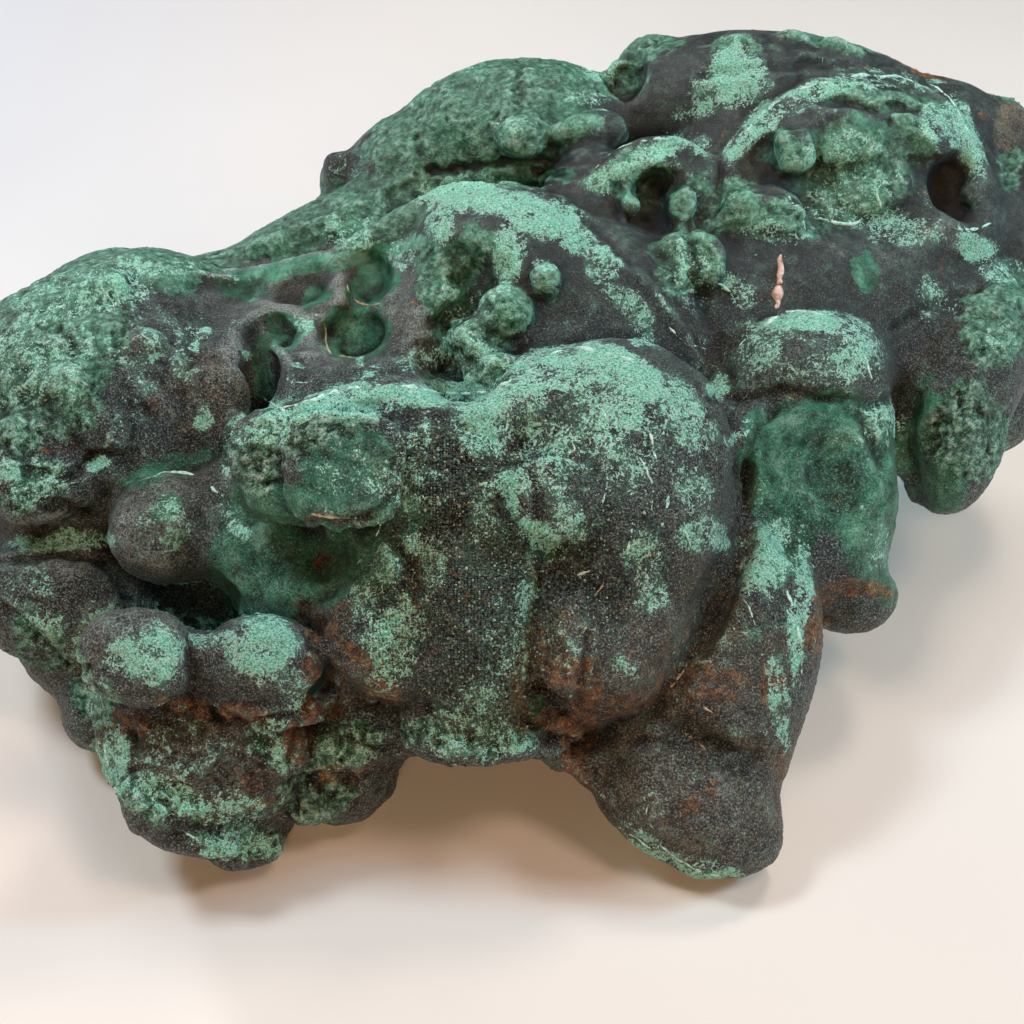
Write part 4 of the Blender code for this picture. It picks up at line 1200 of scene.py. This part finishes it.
seen = seen_from_eye(points, normals, 34.0)
wish = seen * np.clip(shares["sugary"] + 0.35 * shares["gritty"] * shares["rough_green"], 0, 1) ** 1.6
loose_grains = bpy.data.objects.new("loose_grains", scattered(GRAIN_COUNT, wish, 77))
bpy.context.scene.collection.objects.link(loose_grains)
print("loose grains:", len(loose_grains.data.polygons), "faces")

# %% [markdown]
# ## Growing a material from nodes
#
# A finish on a stone is many thin layers, so its material is a long sum of noises and blends.
# A small helper keeps that readable: each call adds one node and hands back its output, and a
# size is always given in millimetres on the stone.

# %% Material helper


def ink(code):
    """A screen colour such as #1f6247 as the linear light that shaders add up."""
    parts = [int(code[i:i + 2], 16) / 255 for i in (1, 3, 5)]
    linear = [p / 12.92 if p <= 0.04045 else ((p + 0.055) / 1.055) ** 2.4 for p in parts]
    return (*linear, 1.0)


# size (mm), detail, roughness, bend
SHARED_NOISES = {"broad": (20, 3, 0.66, 0.0), "middle": (6, 4, 0.72, 0.5), "fine": (0.62, 3, 0.78, 0.0)}


class Finish:
    """A material whose nodes are added one call at a time, each returning its output."""

    def __init__(self, name):
        self.material = bpy.data.materials.new(name)
        self.material.use_nodes = True
        self.tree = self.material.node_tree
        self.tree.nodes.clear()
        self.place = self.add("ShaderNodeTexCoord").outputs["Object"]
        self.kept = {}

    def add(self, kind, **settings):
        node = self.tree.nodes.new(kind)
        for key, value in settings.items():
            setattr(node, key, value)
        return node

    def put(self, socket, value):
        if isinstance(value, bpy.types.NodeSocket):
            self.tree.links.new(value, socket)
        else:
            socket.default_value = value

    def share(self, name):
        """The named attribute of the mesh."""
        return self.add("ShaderNodeAttribute", attribute_name=name).outputs["Fac"]

    def sum(self, operation, first, second=0.0, third=0.0):
        node = self.add("ShaderNodeMath", operation=operation)
        for socket, value in zip(node.inputs, (first, second, third)):
            self.put(socket, value)
        return node.outputs["Value"]

    def moved(self, amount=(0, 0, 0), stretch=(1, 1, 1), turn=(0, 0, 0), place=None):
        """The place shifted by millimetres, turned by degrees and stretched."""
        node = self.add("ShaderNodeMapping", vector_type="TEXTURE")
        self.put(node.inputs["Vector"], place or self.place)
        node.inputs["Location"].default_value = [a * MM for a in amount]
        node.inputs["Rotation"].default_value = [math.radians(t) for t in turn]
        node.inputs["Scale"].default_value = stretch
        return node.outputs["Vector"]

    def noise(self, size, detail=4, rough=0.55, bend=0.0, place=None):
        """About 0.25 to 0.75, in soft patches of that size."""
        node = self.add("ShaderNodeTexNoise")
        self.put(node.inputs["Vector"], place or self.place)
        node.inputs["Scale"].default_value = 1 / (size * MM)
        node.inputs["Detail"].default_value = detail
        node.inputs["Roughness"].default_value = rough
        node.inputs["Distortion"].default_value = bend
        return node.outputs["Fac"]

    def shared(self, name):
        """One of three noises that many layers share, so that the finish stays quick to render."""
        if name not in self.kept:
            self.kept[name] = self.noise(*SHARED_NOISES[name])
        return self.kept[name]

    def wandering(self, size, amount, place=None):
        """The place pushed about by a noise of that size, by up to that many millimetres."""
        node = self.add("ShaderNodeTexNoise")
        self.put(node.inputs["Vector"], place or self.place)
        node.inputs["Scale"].default_value = 1 / (size * MM)
        node.inputs["Detail"].default_value = 1
        push = self.add("ShaderNodeVectorMath", operation="MULTIPLY_ADD")
        self.put(push.inputs[0], node.outputs["Color"])
        push.inputs[1].default_value = [2 * amount * MM] * 3
        self.put(push.inputs[2], place or self.place)
        return push.outputs["Vector"]

    def cells(self, size, place=None, edges=False):
        """Distance from cell seeds, 0 to about 1, or from the cell walls, and a cell colour."""
        node = self.add("ShaderNodeTexVoronoi", feature="DISTANCE_TO_EDGE" if edges else "F1")
        self.put(node.inputs["Vector"], place or self.place)
        node.inputs["Scale"].default_value = 1 / (size * MM)
        return node.outputs["Distance"], None if edges else node.outputs["Color"]

    def red_of(self, colour):
        """The red part of a colour, as a plain number."""
        node = self.add("ShaderNodeSeparateColor")
        self.put(node.inputs["Color"], colour)
        return node.outputs["Red"]

    def rise(self, value, low, high):
        """0 below low, 1 above high and a smooth slope between; low above high falls instead."""
        node = self.add("ShaderNodeMapRange", interpolation_type="SMOOTHSTEP")
        for name, number in (("Value", value), ("From Min", low), ("From Max", high)):
            self.put(node.inputs[name], number)
        return node.outputs["Result"]

    def colours(self, value, *stops):
        """A colour for each value, blended between (value, colour code) stops."""
        node = self.add("ShaderNodeValToRGB")
        self.put(node.inputs["Fac"], value)
        ramp = node.color_ramp
        for element, (position, code) in zip((ramp.elements[0], ramp.elements[1]), (stops[0], stops[-1])):
            element.position = position
            element.color = ink(code)
        for position, code in stops[1:-1]:
            ramp.elements.new(position).color = ink(code)
        return node.outputs["Color"]

    def blend(self, share, under, over, way="MIX"):
        """The second colour laid over the first by that share."""
        node = self.add("ShaderNodeMix", data_type="RGBA", blend_type=way)
        self.put(node.inputs["Factor"], share)
        colours = [socket for socket in node.inputs if socket.type == "RGBA"]
        for socket, colour in zip(colours, (under, over)):
            self.put(socket, ink(colour) if isinstance(colour, str) else colour)
        return [socket for socket in node.outputs if socket.type == "RGBA"][0]

    def level(self, share, under, over):
        """The same for plain numbers."""
        node = self.add("ShaderNodeMix", data_type="FLOAT")
        self.put(node.inputs["Factor"], share)
        self.put(node.inputs["A"], under)
        self.put(node.inputs["B"], over)
        return node.outputs["Result"]

    def surface(self, colour, roughness, height, height_mm, **constants):
        """The Principled shader, with height turned into a bump of that many millimetres."""
        bump = self.add("ShaderNodeBump")
        self.put(bump.inputs["Height"], height)
        bump.inputs["Distance"].default_value = height_mm * MM
        shader = self.add("ShaderNodeBsdfPrincipled")
        self.put(shader.inputs["Base Color"], colour)
        self.put(shader.inputs["Roughness"], roughness)
        self.put(shader.inputs["Normal"], bump.outputs["Normal"])
        for name, value in constants.items():
            shader.inputs[name.replace("_", " ")].default_value = value
        output = self.add("ShaderNodeOutputMaterial")
        self.tree.links.new(shader.outputs["BSDF"], output.inputs["Surface"])
        return self.material


# %% [markdown]
# ## The skin's finish
#
# The layers go on in the order they grew. First comes the dark velvet skin with its fine grey
# specks, then smoky brown, the pale web, sugary grains and olive tint, the two greens, rust and
# the mint powder. Before the powder, painted shade darkens the hollows, the clefts and the fine
# dents, and painted highlight lightens the ridges and tips. Each share is roughened by its own
# noise before it is used, so that layers meet in ragged edges and not in soft ovals.

# %% Skin finish


def patchy(f, name, size, reach, low, high):
    """Share plus noise, cut to a ragged 0 to 1: broad raggedness, then grains at the edge."""
    broad = f.sum("SUBTRACT", f.noise(size, 3, 0.70, 0.5), 0.5)
    spread = f.sum("MULTIPLY_ADD", broad, reach, f.share(name))
    grains = f.sum("SUBTRACT", f.shared("fine"), 0.5)
    return f.rise(f.sum("MULTIPLY_ADD", grains, 0.8, spread), low, high)


def velvet(f):
    """Blue-black that drifts in tone and towards green. In front it is rough, with grey grains
    half a millimetre wide; behind it is nearly bare."""
    front = f.share("front")
    drift = f.shared("broad")
    dark = f.colours(drift, (0.34, "#191e1f"), (0.50, "#2d3536"), (0.66, "#4e5857"))
    teal = f.rise(f.noise(33, 3, 0.66, place=f.moved((90, 20, 40))), 0.46, 0.62)
    dark = f.blend(f.sum("MULTIPLY", teal, 0.55), dark, "#2d443c")
    soft = f.colours(f.shared("middle"), (0.36, "#10161a"), (0.50, "#2b3336"), (0.62, "#5d6a6a"))
    dark = f.blend(0.45, dark, soft)
    speck, _ = f.cells(0.85, f.wandering(1.2, 0.2))
    many = f.rise(f.shared("middle"), 0.34, 0.62)
    dots = f.sum("MULTIPLY", f.sum("MULTIPLY", f.rise(speck, 0.34, 0.22), many), f.sum("MULTIPLY_ADD", front, 0.8, 0.2))
    fuzz = f.shared("fine")
    grain = f.colours(fuzz, (0.36, "#030404"), (0.48, "#222725"), (0.57, "#828985"), (0.65, "#d2dad4"))
    dark = f.blend(f.sum("MULTIPLY_ADD", front, 0.55, 0.10), dark, grain)
    return f.blend(f.sum("MULTIPLY", dots, 0.8), dark, "#bcc5bf"), f.sum("MULTIPLY_ADD", dots, 0.6, fuzz)


def smoky(f):
    """Brown like smoked glass, darker where the fine noise is low, with ochre flecks and a grey bloom."""
    tone = f.noise(13, 4, 0.72, 0.9)
    colour = f.colours(tone, (0.35, "#201d19"), (0.46, "#474136"), (0.55, "#716852"), (0.66, "#a39372"))
    bloom = f.rise(f.shared("middle"), 0.49, 0.60)
    colour = f.blend(f.sum("MULTIPLY", bloom, 0.75), colour, "#7c827b")
    ochre = f.rise(f.noise(4.2, 3, 0.66, 1.0), 0.59, 0.64)
    colour = f.blend(f.sum("MULTIPLY", ochre, 0.8), colour, "#a5874f")
    # Darker where the fine noise is low; the same noise sinks the fine bump there.
    fine_noise = f.shared("fine")
    return f.blend(0.55, colour, f.colours(fine_noise, (0.36, "#0a0908"), (0.49, "#454038"), (0.58, "#9c9483"), (0.68, "#cfc8b6")))


def sugar(f):
    """Grains under a millimetre wide: most black-green, some mint or grey, a few gold."""
    grain, tint = f.cells(0.95, f.wandering(1.5, 0.3))
    colour = f.colours(f.red_of(tint), (0.30, "#111613"), (0.50, "#26302a"), (0.68, "#435c4b"), (0.86, "#84a68d"),
                       (0.985, "#b4c2a6"), (1.0, "#d8ac74"))
    hole = f.rise(grain, 0.24, 0.56)
    return f.blend(f.sum("MULTIPLY", hole, 0.85), colour, "#070a08"), f.sum("SUBTRACT", 1.0, grain)


def crystal_green(f, ridge):
    """Rough malachite: dull green faces, with painted shade that takes the hollows to black-green and painted highlight
    on the bright tips.
    """
    lumpy = f.noise(1.9, 3, 0.74, 0.5)
    # The colour follows the bump's height and the ridge: painted shade in the low places and painted highlight at the
    # tips, over the green's own tones.
    height = f.sum("MULTIPLY_ADD", ridge, 0.12, lumpy)
    colour = f.colours(height, (0.29, "#0c2018"), (0.39, "#2b5f48"), (0.49, "#549576"), (0.58, "#8fcaad"),
                       (0.70, "#d6f5e7"))
    vivid = f.rise(f.shared("broad"), 0.49, 0.60)
    colour = f.blend(f.sum("MULTIPLY", vivid, 0.6), colour,
                     f.colours(height, (0.30, "#083523"), (0.48, "#2a9266"), (0.66, "#98e6c2")))
    muddy = f.rise(f.shared("broad"), 0.50, 0.40)
    colour = f.blend(f.sum("MULTIPLY", muddy, 0.32), colour, "#3c5045")
    plain = f.blend(f.rise(f.shared("middle"), 0.42, 0.58), "#2c5d48", "#5f9a80")
    return f.blend(f.sum("MULTIPLY_ADD", f.share("front"), -0.50, 0.50), colour, plain), lumpy


def glaze_green(f):
    """Smooth malachite in the broken bubbles, with faint pale strokes and dark stains."""
    tone = f.noise(12, 4, 0.64, 1.0)
    colour = f.colours(tone, (0.32, "#1a533d"), (0.44, "#318466"), (0.56, "#4ea884"), (0.68, "#90cfb3"))
    strokes = f.noise(1.5, 3, 0.68, 0.8, f.moved(stretch=(1, 1, 3.5)))
    colour = f.blend(f.sum("MULTIPLY", f.rise(strokes, 0.52, 0.66), 0.45), colour, "#84bda2")
    stain = f.rise(f.shared("middle"), 0.51, 0.60)
    return f.blend(f.sum("MULTIPLY", stain, 0.55), colour, "#1d2a25")


def mint_powder(f, ridge):
    """Where the powder lies, how far inside a blot a point is, and a thin haze: blotches, and
    curly worms left by dried drops."""
    patches = f.noise(9, 3, 0.66, place=f.moved((30, 30, 0)))
    dust = f.sum("MULTIPLY_ADD", f.sum("SUBTRACT", patches, 0.5), 1.5, f.share("mint"))
    dust = f.sum("MULTIPLY_ADD", f.sum("MAXIMUM", ridge, 0.0), 0.45, dust)
    wander = f.wandering(3, 1.0)
    round_blots = f.noise(2.8, 3, 0.66, 0.3, wander)
    long_blots = f.noise(1.6, 3, 0.62, 0.2, f.moved(stretch=(1, 1, 3.2), turn=(0, 24, 0), place=wander))
    fine_blots = f.sum("ADD", f.noise(0.9, 2, 0.62, 0.2, wander), 0.035)
    blots = f.sum("MAXIMUM", f.sum("MAXIMUM", round_blots, long_blots), fine_blots)
    level = f.sum("MULTIPLY_ADD", dust, -0.31, 0.815)
    solid = f.rise(blots, level, f.sum("ADD", level, 0.018))
    inside = f.rise(blots, f.sum("ADD", level, 0.02), f.sum("ADD", level, 0.07))
    curl = f.sum("ABSOLUTE", f.sum("SUBTRACT", f.noise(3.8, 3, 0.5, 0.8), 0.5))
    broken = f.rise(f.noise(2.6, 2, 0.6, place=f.moved((0, 50, 10))), 0.50, 0.54)
    worms = f.sum("MULTIPLY", f.rise(curl, 0.026, 0.012), broken)
    worms = f.sum("MULTIPLY", worms, f.rise(dust, 0.30, 0.60))
    return f.sum("MAXIMUM", solid, worms), inside, f.rise(dust, 0.1, 1.3)


def skin_finish():
    """All the layers, from the velvet up to the mint powder."""
    f = Finish("malachite skin")
    ridge, swell = f.share("ridge"), f.share("swell")
    colour, fuzz = velvet(f)
    height = f.sum("MULTIPLY", fuzz, 0.55)

    brown = patchy(f, "brown", 10, 1.5, 0.28, 0.62)
    colour = f.blend(f.sum("MULTIPLY", brown, 0.95), colour, smoky(f))

    pale = patchy(f, "pale", 7, 1.3, 0.20, 0.85)
    web = f.sum("MULTIPLY", pale, f.sum("MULTIPLY_ADD", f.rise(ridge, -0.10, 0.45), 0.55, 0.38))
    colour = f.blend(web, colour, f.colours(f.shared("fine"), (0.36, "#4a5553"), (0.64, "#bcc4c0")))

    sugary = patchy(f, "sugary", 6, 1.6, 0.28, 0.52)
    grains, bead = sugar(f)
    colour = f.blend(sugary, colour, grains)
    height = f.level(f.share("sugary"), height, f.sum("MULTIPLY", bead, 1.2))
    olive = patchy(f, "olive", 9, 0.9, 0.25, 0.80)
    colour = f.blend(f.sum("MULTIPLY", olive, 0.7), colour, "#3f5030")

    smooth = patchy(f, "smooth_green", 7, 1.3, 0.22, 0.52)
    colour = f.blend(smooth, colour, glaze_green(f))
    height = f.level(f.sum("MULTIPLY", f.share("smooth_green"), 0.6), height, 0.5)

    rough = patchy(f, "rough_green", 6, 2.0, 0.24, 0.50)
    crystals, lumpy = crystal_green(f, ridge)
    colour = f.blend(rough, colour, crystals)
    height = f.level(f.share("rough_green"), height, f.sum("MULTIPLY", lumpy, 2.2))

    rust = patchy(f, "rust", 4, 1.8, 0.22, 0.54)
    stain = f.colours(f.noise(2.4, 3, 0.74), (0.36, "#3a2416"), (0.46, "#7a4c26"), (0.55, "#aa6d31"), (0.67, "#d39a5b"))
    colour = f.blend(f.sum("MULTIPLY", rust, 0.85), colour, stain)

    haze = f.sum("MULTIPLY_ADD", ridge, 0.12, f.noise(2.6, 3, 0.74, place=f.moved((70, 0, 20))))
    haze = f.sum("MULTIPLY", f.rise(haze, 0.50, 0.64), f.rise(f.shared("broad"), 0.40, 0.60))
    colour = f.blend(f.sum("MULTIPLY", haze, 0.36), colour, "#6c9384")

    # Painted light and shade of the relief: the colour is darkened in the hollows and kept bright on the ridges and
    # swells.
    stand = f.sum("MULTIPLY_ADD", swell, 0.12, f.sum("MULTIPLY_ADD", ridge, 0.28, 0.5))
    painted_relief_light = f.colours(stand, (0.14, "#3f4443"), (0.50, "#d4d4d4"), (0.80, "#ffffff"))
    colour = f.blend(1.0, colour, painted_relief_light, "MULTIPLY")
    # Painted shade in the clefts: walled-in points are darkened to near black, less so on the smooth green.
    bare = f.sum("MULTIPLY_ADD", smooth, -0.85, 1.0)
    cleft = f.sum("MULTIPLY", f.rise(f.share("cleft"), 0.30, 0.75), bare)
    colour = f.blend(f.sum("MULTIPLY", cleft, 0.85), colour, "#060807")

    front = f.share("front")
    grit = f.shared("fine")
    # Painted shade and painted highlight of the fine bump: grit also raises the bump below, and the colour is darkened
    # where grit is low and given pale glints where it is high.
    dents = f.colours(grit, (0.37, "#2a2a2a"), (0.47, "#e8e8e8"), (0.53, "#ffffff"))
    colour = f.blend(f.sum("MULTIPLY", front, 0.75), colour, dents, "MULTIPLY")
    glints = f.sum("MULTIPLY", f.rise(grit, 0.56, 0.66), f.sum("MULTIPLY", front, 0.6))
    colour = f.blend(glints, colour, "#b9c9c0")

    powder, inside, thin = mint_powder(f, ridge)
    tone = f.sum("MULTIPLY_ADD", inside, -0.10, f.shared("fine"))
    bright = f.colours(tone, (0.27, "#3b9c77"), (0.35, "#6fcdab"), (0.42, "#a4efd2"), (0.50, "#d2fff1"))
    misty = f.rise(f.shared("middle"), 0.42, 0.60)
    colour = f.blend(f.sum("MULTIPLY", f.sum("MULTIPLY", thin, misty), 0.75), colour, "#5fa68c")
    thick = f.sum("MULTIPLY_ADD", front, 0.30, 0.66)
    colour = f.blend(f.sum("MULTIPLY", powder, thick), colour, bright)
    height = f.sum("MULTIPLY_ADD", grit, 0.5, height)
    height = f.sum("MULTIPLY", height, f.sum("MULTIPLY_ADD", front, 0.95, 0.55))

    roughness = f.level(powder, f.level(smooth, f.level(rough, 0.42, 0.50), 0.32), 0.75)
    return f.surface(colour, roughness, height, 1.1, Specular_IOR_Level=0.5)


# %% [markdown]
# ## Finishes for the small pieces
#
# The threads are chalky powder, broken up in tone. The vein is milky and a little clearer. A
# grain takes one tone from its own number, from black-green to mint, and a few are gold.

# %% Small finishes


def chalk(name, dark, middle, pale):
    """Powder in three tones of noise, rough all over."""
    f = Finish(name)
    tone = f.noise(1.4, 6, 0.72)
    return f.surface(f.colours(tone, (0.34, dark), (0.48, middle), (0.62, pale)), 0.85, tone, 0.3)


def vein_finish():
    """Pink and white quartz with brown specks, shinier than the skin."""
    f = Finish("quartz vein")
    tone = f.noise(2.2, 6, 0.68)
    colour = f.colours(tone, (0.34, "#7d5f52"), (0.45, "#c79f8d"), (0.56, "#e6cfc2"), (0.66, "#f6ece4"))
    return f.surface(colour, 0.42, f.noise(0.8, 5, 0.7), 0.3)


def grain_finish():
    """One tone for each grain, with fine noise over it."""
    f = Finish("loose grains")
    colour = f.colours(f.share("tint"), (0.0, "#070a09"), (0.40, "#161d1a"), (0.65, "#2f4439"), (0.84, "#5f7a69"),
                       (0.94, "#9cc7af"), (0.99, "#cfd6c4"), (1.0, "#d8a45f"))
    fine = f.noise(0.5, 5, 0.75)
    colour = f.blend(0.4, colour, f.colours(fine, (0.35, "#101512"), (0.65, "#93a596")))
    return f.surface(colour, 0.5, fine, 0.2)


# %% [markdown]
# ## Floor, light and air
#
# The stone lies on a plain pale sheet in a bright room. Soft light comes from nearly every side:
# warm from the front, cool from the left, the right and behind. So the shadows are faint in the
# open, and deep and brown only under the arch, where the front light alone can reach. Each lamp
# is a square area light, all at one distance from the stone; only direction, power and tint differ.

# %% Setting
from mathutils import Vector


def plain(name, code, roughness):
    """A quiet stage finish: one colour with the faintest drift, and painted shade that greys it towards the back left
    corner.
    """
    f = Finish(name)
    colour = f.blend(f.rise(f.noise(300, 2), 0.3, 0.7), code, "#ece6e0")
    # Painted shade: the floor is greyed towards its back left corner.
    parts = f.add("ShaderNodeSeparateXYZ")
    f.put(parts.inputs["Vector"], f.place)
    corner = f.sum("MULTIPLY", f.rise(parts.outputs["X"], 0.0, -0.35), f.rise(parts.outputs["Y"], 0.0, 0.35))
    colour = f.blend(corner, colour, "#d6d6d9")
    return f.surface(colour, roughness, f.noise(8, 2), 0.02)


sheet = bpy.data.meshes.new("floor_sheet")
FLOOR_HALF = 2.5
sheet.from_pydata([(x, y, 0.0) for x, y in ((-FLOOR_HALF, -FLOOR_HALF), (FLOOR_HALF, -FLOOR_HALF),
                                            (FLOOR_HALF, FLOOR_HALF), (-FLOOR_HALF, FLOOR_HALF))],
                  [], [(0, 1, 2, 3)])
sheet.update()
floor = bpy.data.objects.new("floor_sheet", sheet)
bpy.context.scene.collection.objects.link(floor)
sheet.materials.append(plain("pale sheet", "#e9e1da", 0.75))

STONE_HEART = Vector((0.0, 0.0, 0.07))
LAMP_DISTANCE = 1.2
# name: degrees round from the front towards the right, degrees up, size (m), red, green, blue watts
LAMPS = {
    "warm_front": (0, 30, 0.25, 4.64, 2.76, 1.60),
    "front_right": (45, 60, 0.25, 3.33, 2.31, 1.71),
    "cool_right": (90, 30, 0.25, 3.34, 5.85, 7.39),
    "behind_right": (135, 60, 0.25, 4.20, 3.53, 2.98),
    "behind_left": (225, 30, 0.25, 4.86, 4.90, 5.14),
    "cool_left": (270, 60, 0.25, 5.26, 6.13, 6.67),
    "overhead": (0, 90, 1.0, 0.77, 1.01, 1.37),
}
for name, (turn, rise, size, *watts) in LAMPS.items():
    a, e = math.radians(turn), math.radians(rise)
    lamp = bpy.data.lights.new(name, "AREA")
    lamp.size = size
    lamp.energy = max(watts)
    lamp.color = [watt / max(watts) for watt in watts]
    holder = bpy.data.objects.new(name, lamp)
    way = Vector((math.sin(a) * math.cos(e), -math.cos(a) * math.cos(e), math.sin(e)))
    holder.location = STONE_HEART + way * LAMP_DISTANCE
    holder.rotation_euler = (-way).to_track_quat("-Z", "Y").to_euler()
    bpy.context.scene.collection.objects.link(holder)

air = bpy.data.worlds.new("room air")
air.use_nodes = True
backdrop = air.node_tree.nodes["Background"]
backdrop.inputs["Color"].default_value = (1.0, 0.86, 0.74, 1.0)
backdrop.inputs["Strength"].default_value = 0.01
bpy.context.scene.world = air
bpy.context.scene.view_settings.view_transform = "Standard"

# %% [markdown]
# ## Putting it together
#
# The skin stands for the solid, which is hidden, rides on the stone's only body, and takes the
# skin finish. The threads, the vein and the grains ride on the same body, each with its own finish.

# %% Finish
skin_material = skin_finish()
for stone in stones:
    stone.data.materials.append(skin_material)
    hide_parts("malachite_rock")
    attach(stone, "root")

small_pieces = (
    (mint_threads, chalk("mint thread", "#6cb49b", "#a8dccb", "#e6f8f1")),
    (brown_threads, chalk("lime thread", "#6f6450", "#a3967c", "#cfc4ab")),
    (quartz_vein, vein_finish()),
    (loose_grains, grain_finish()),
)
for piece, material in small_pieces:
    piece.data.materials.append(material)
    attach(piece, "root")
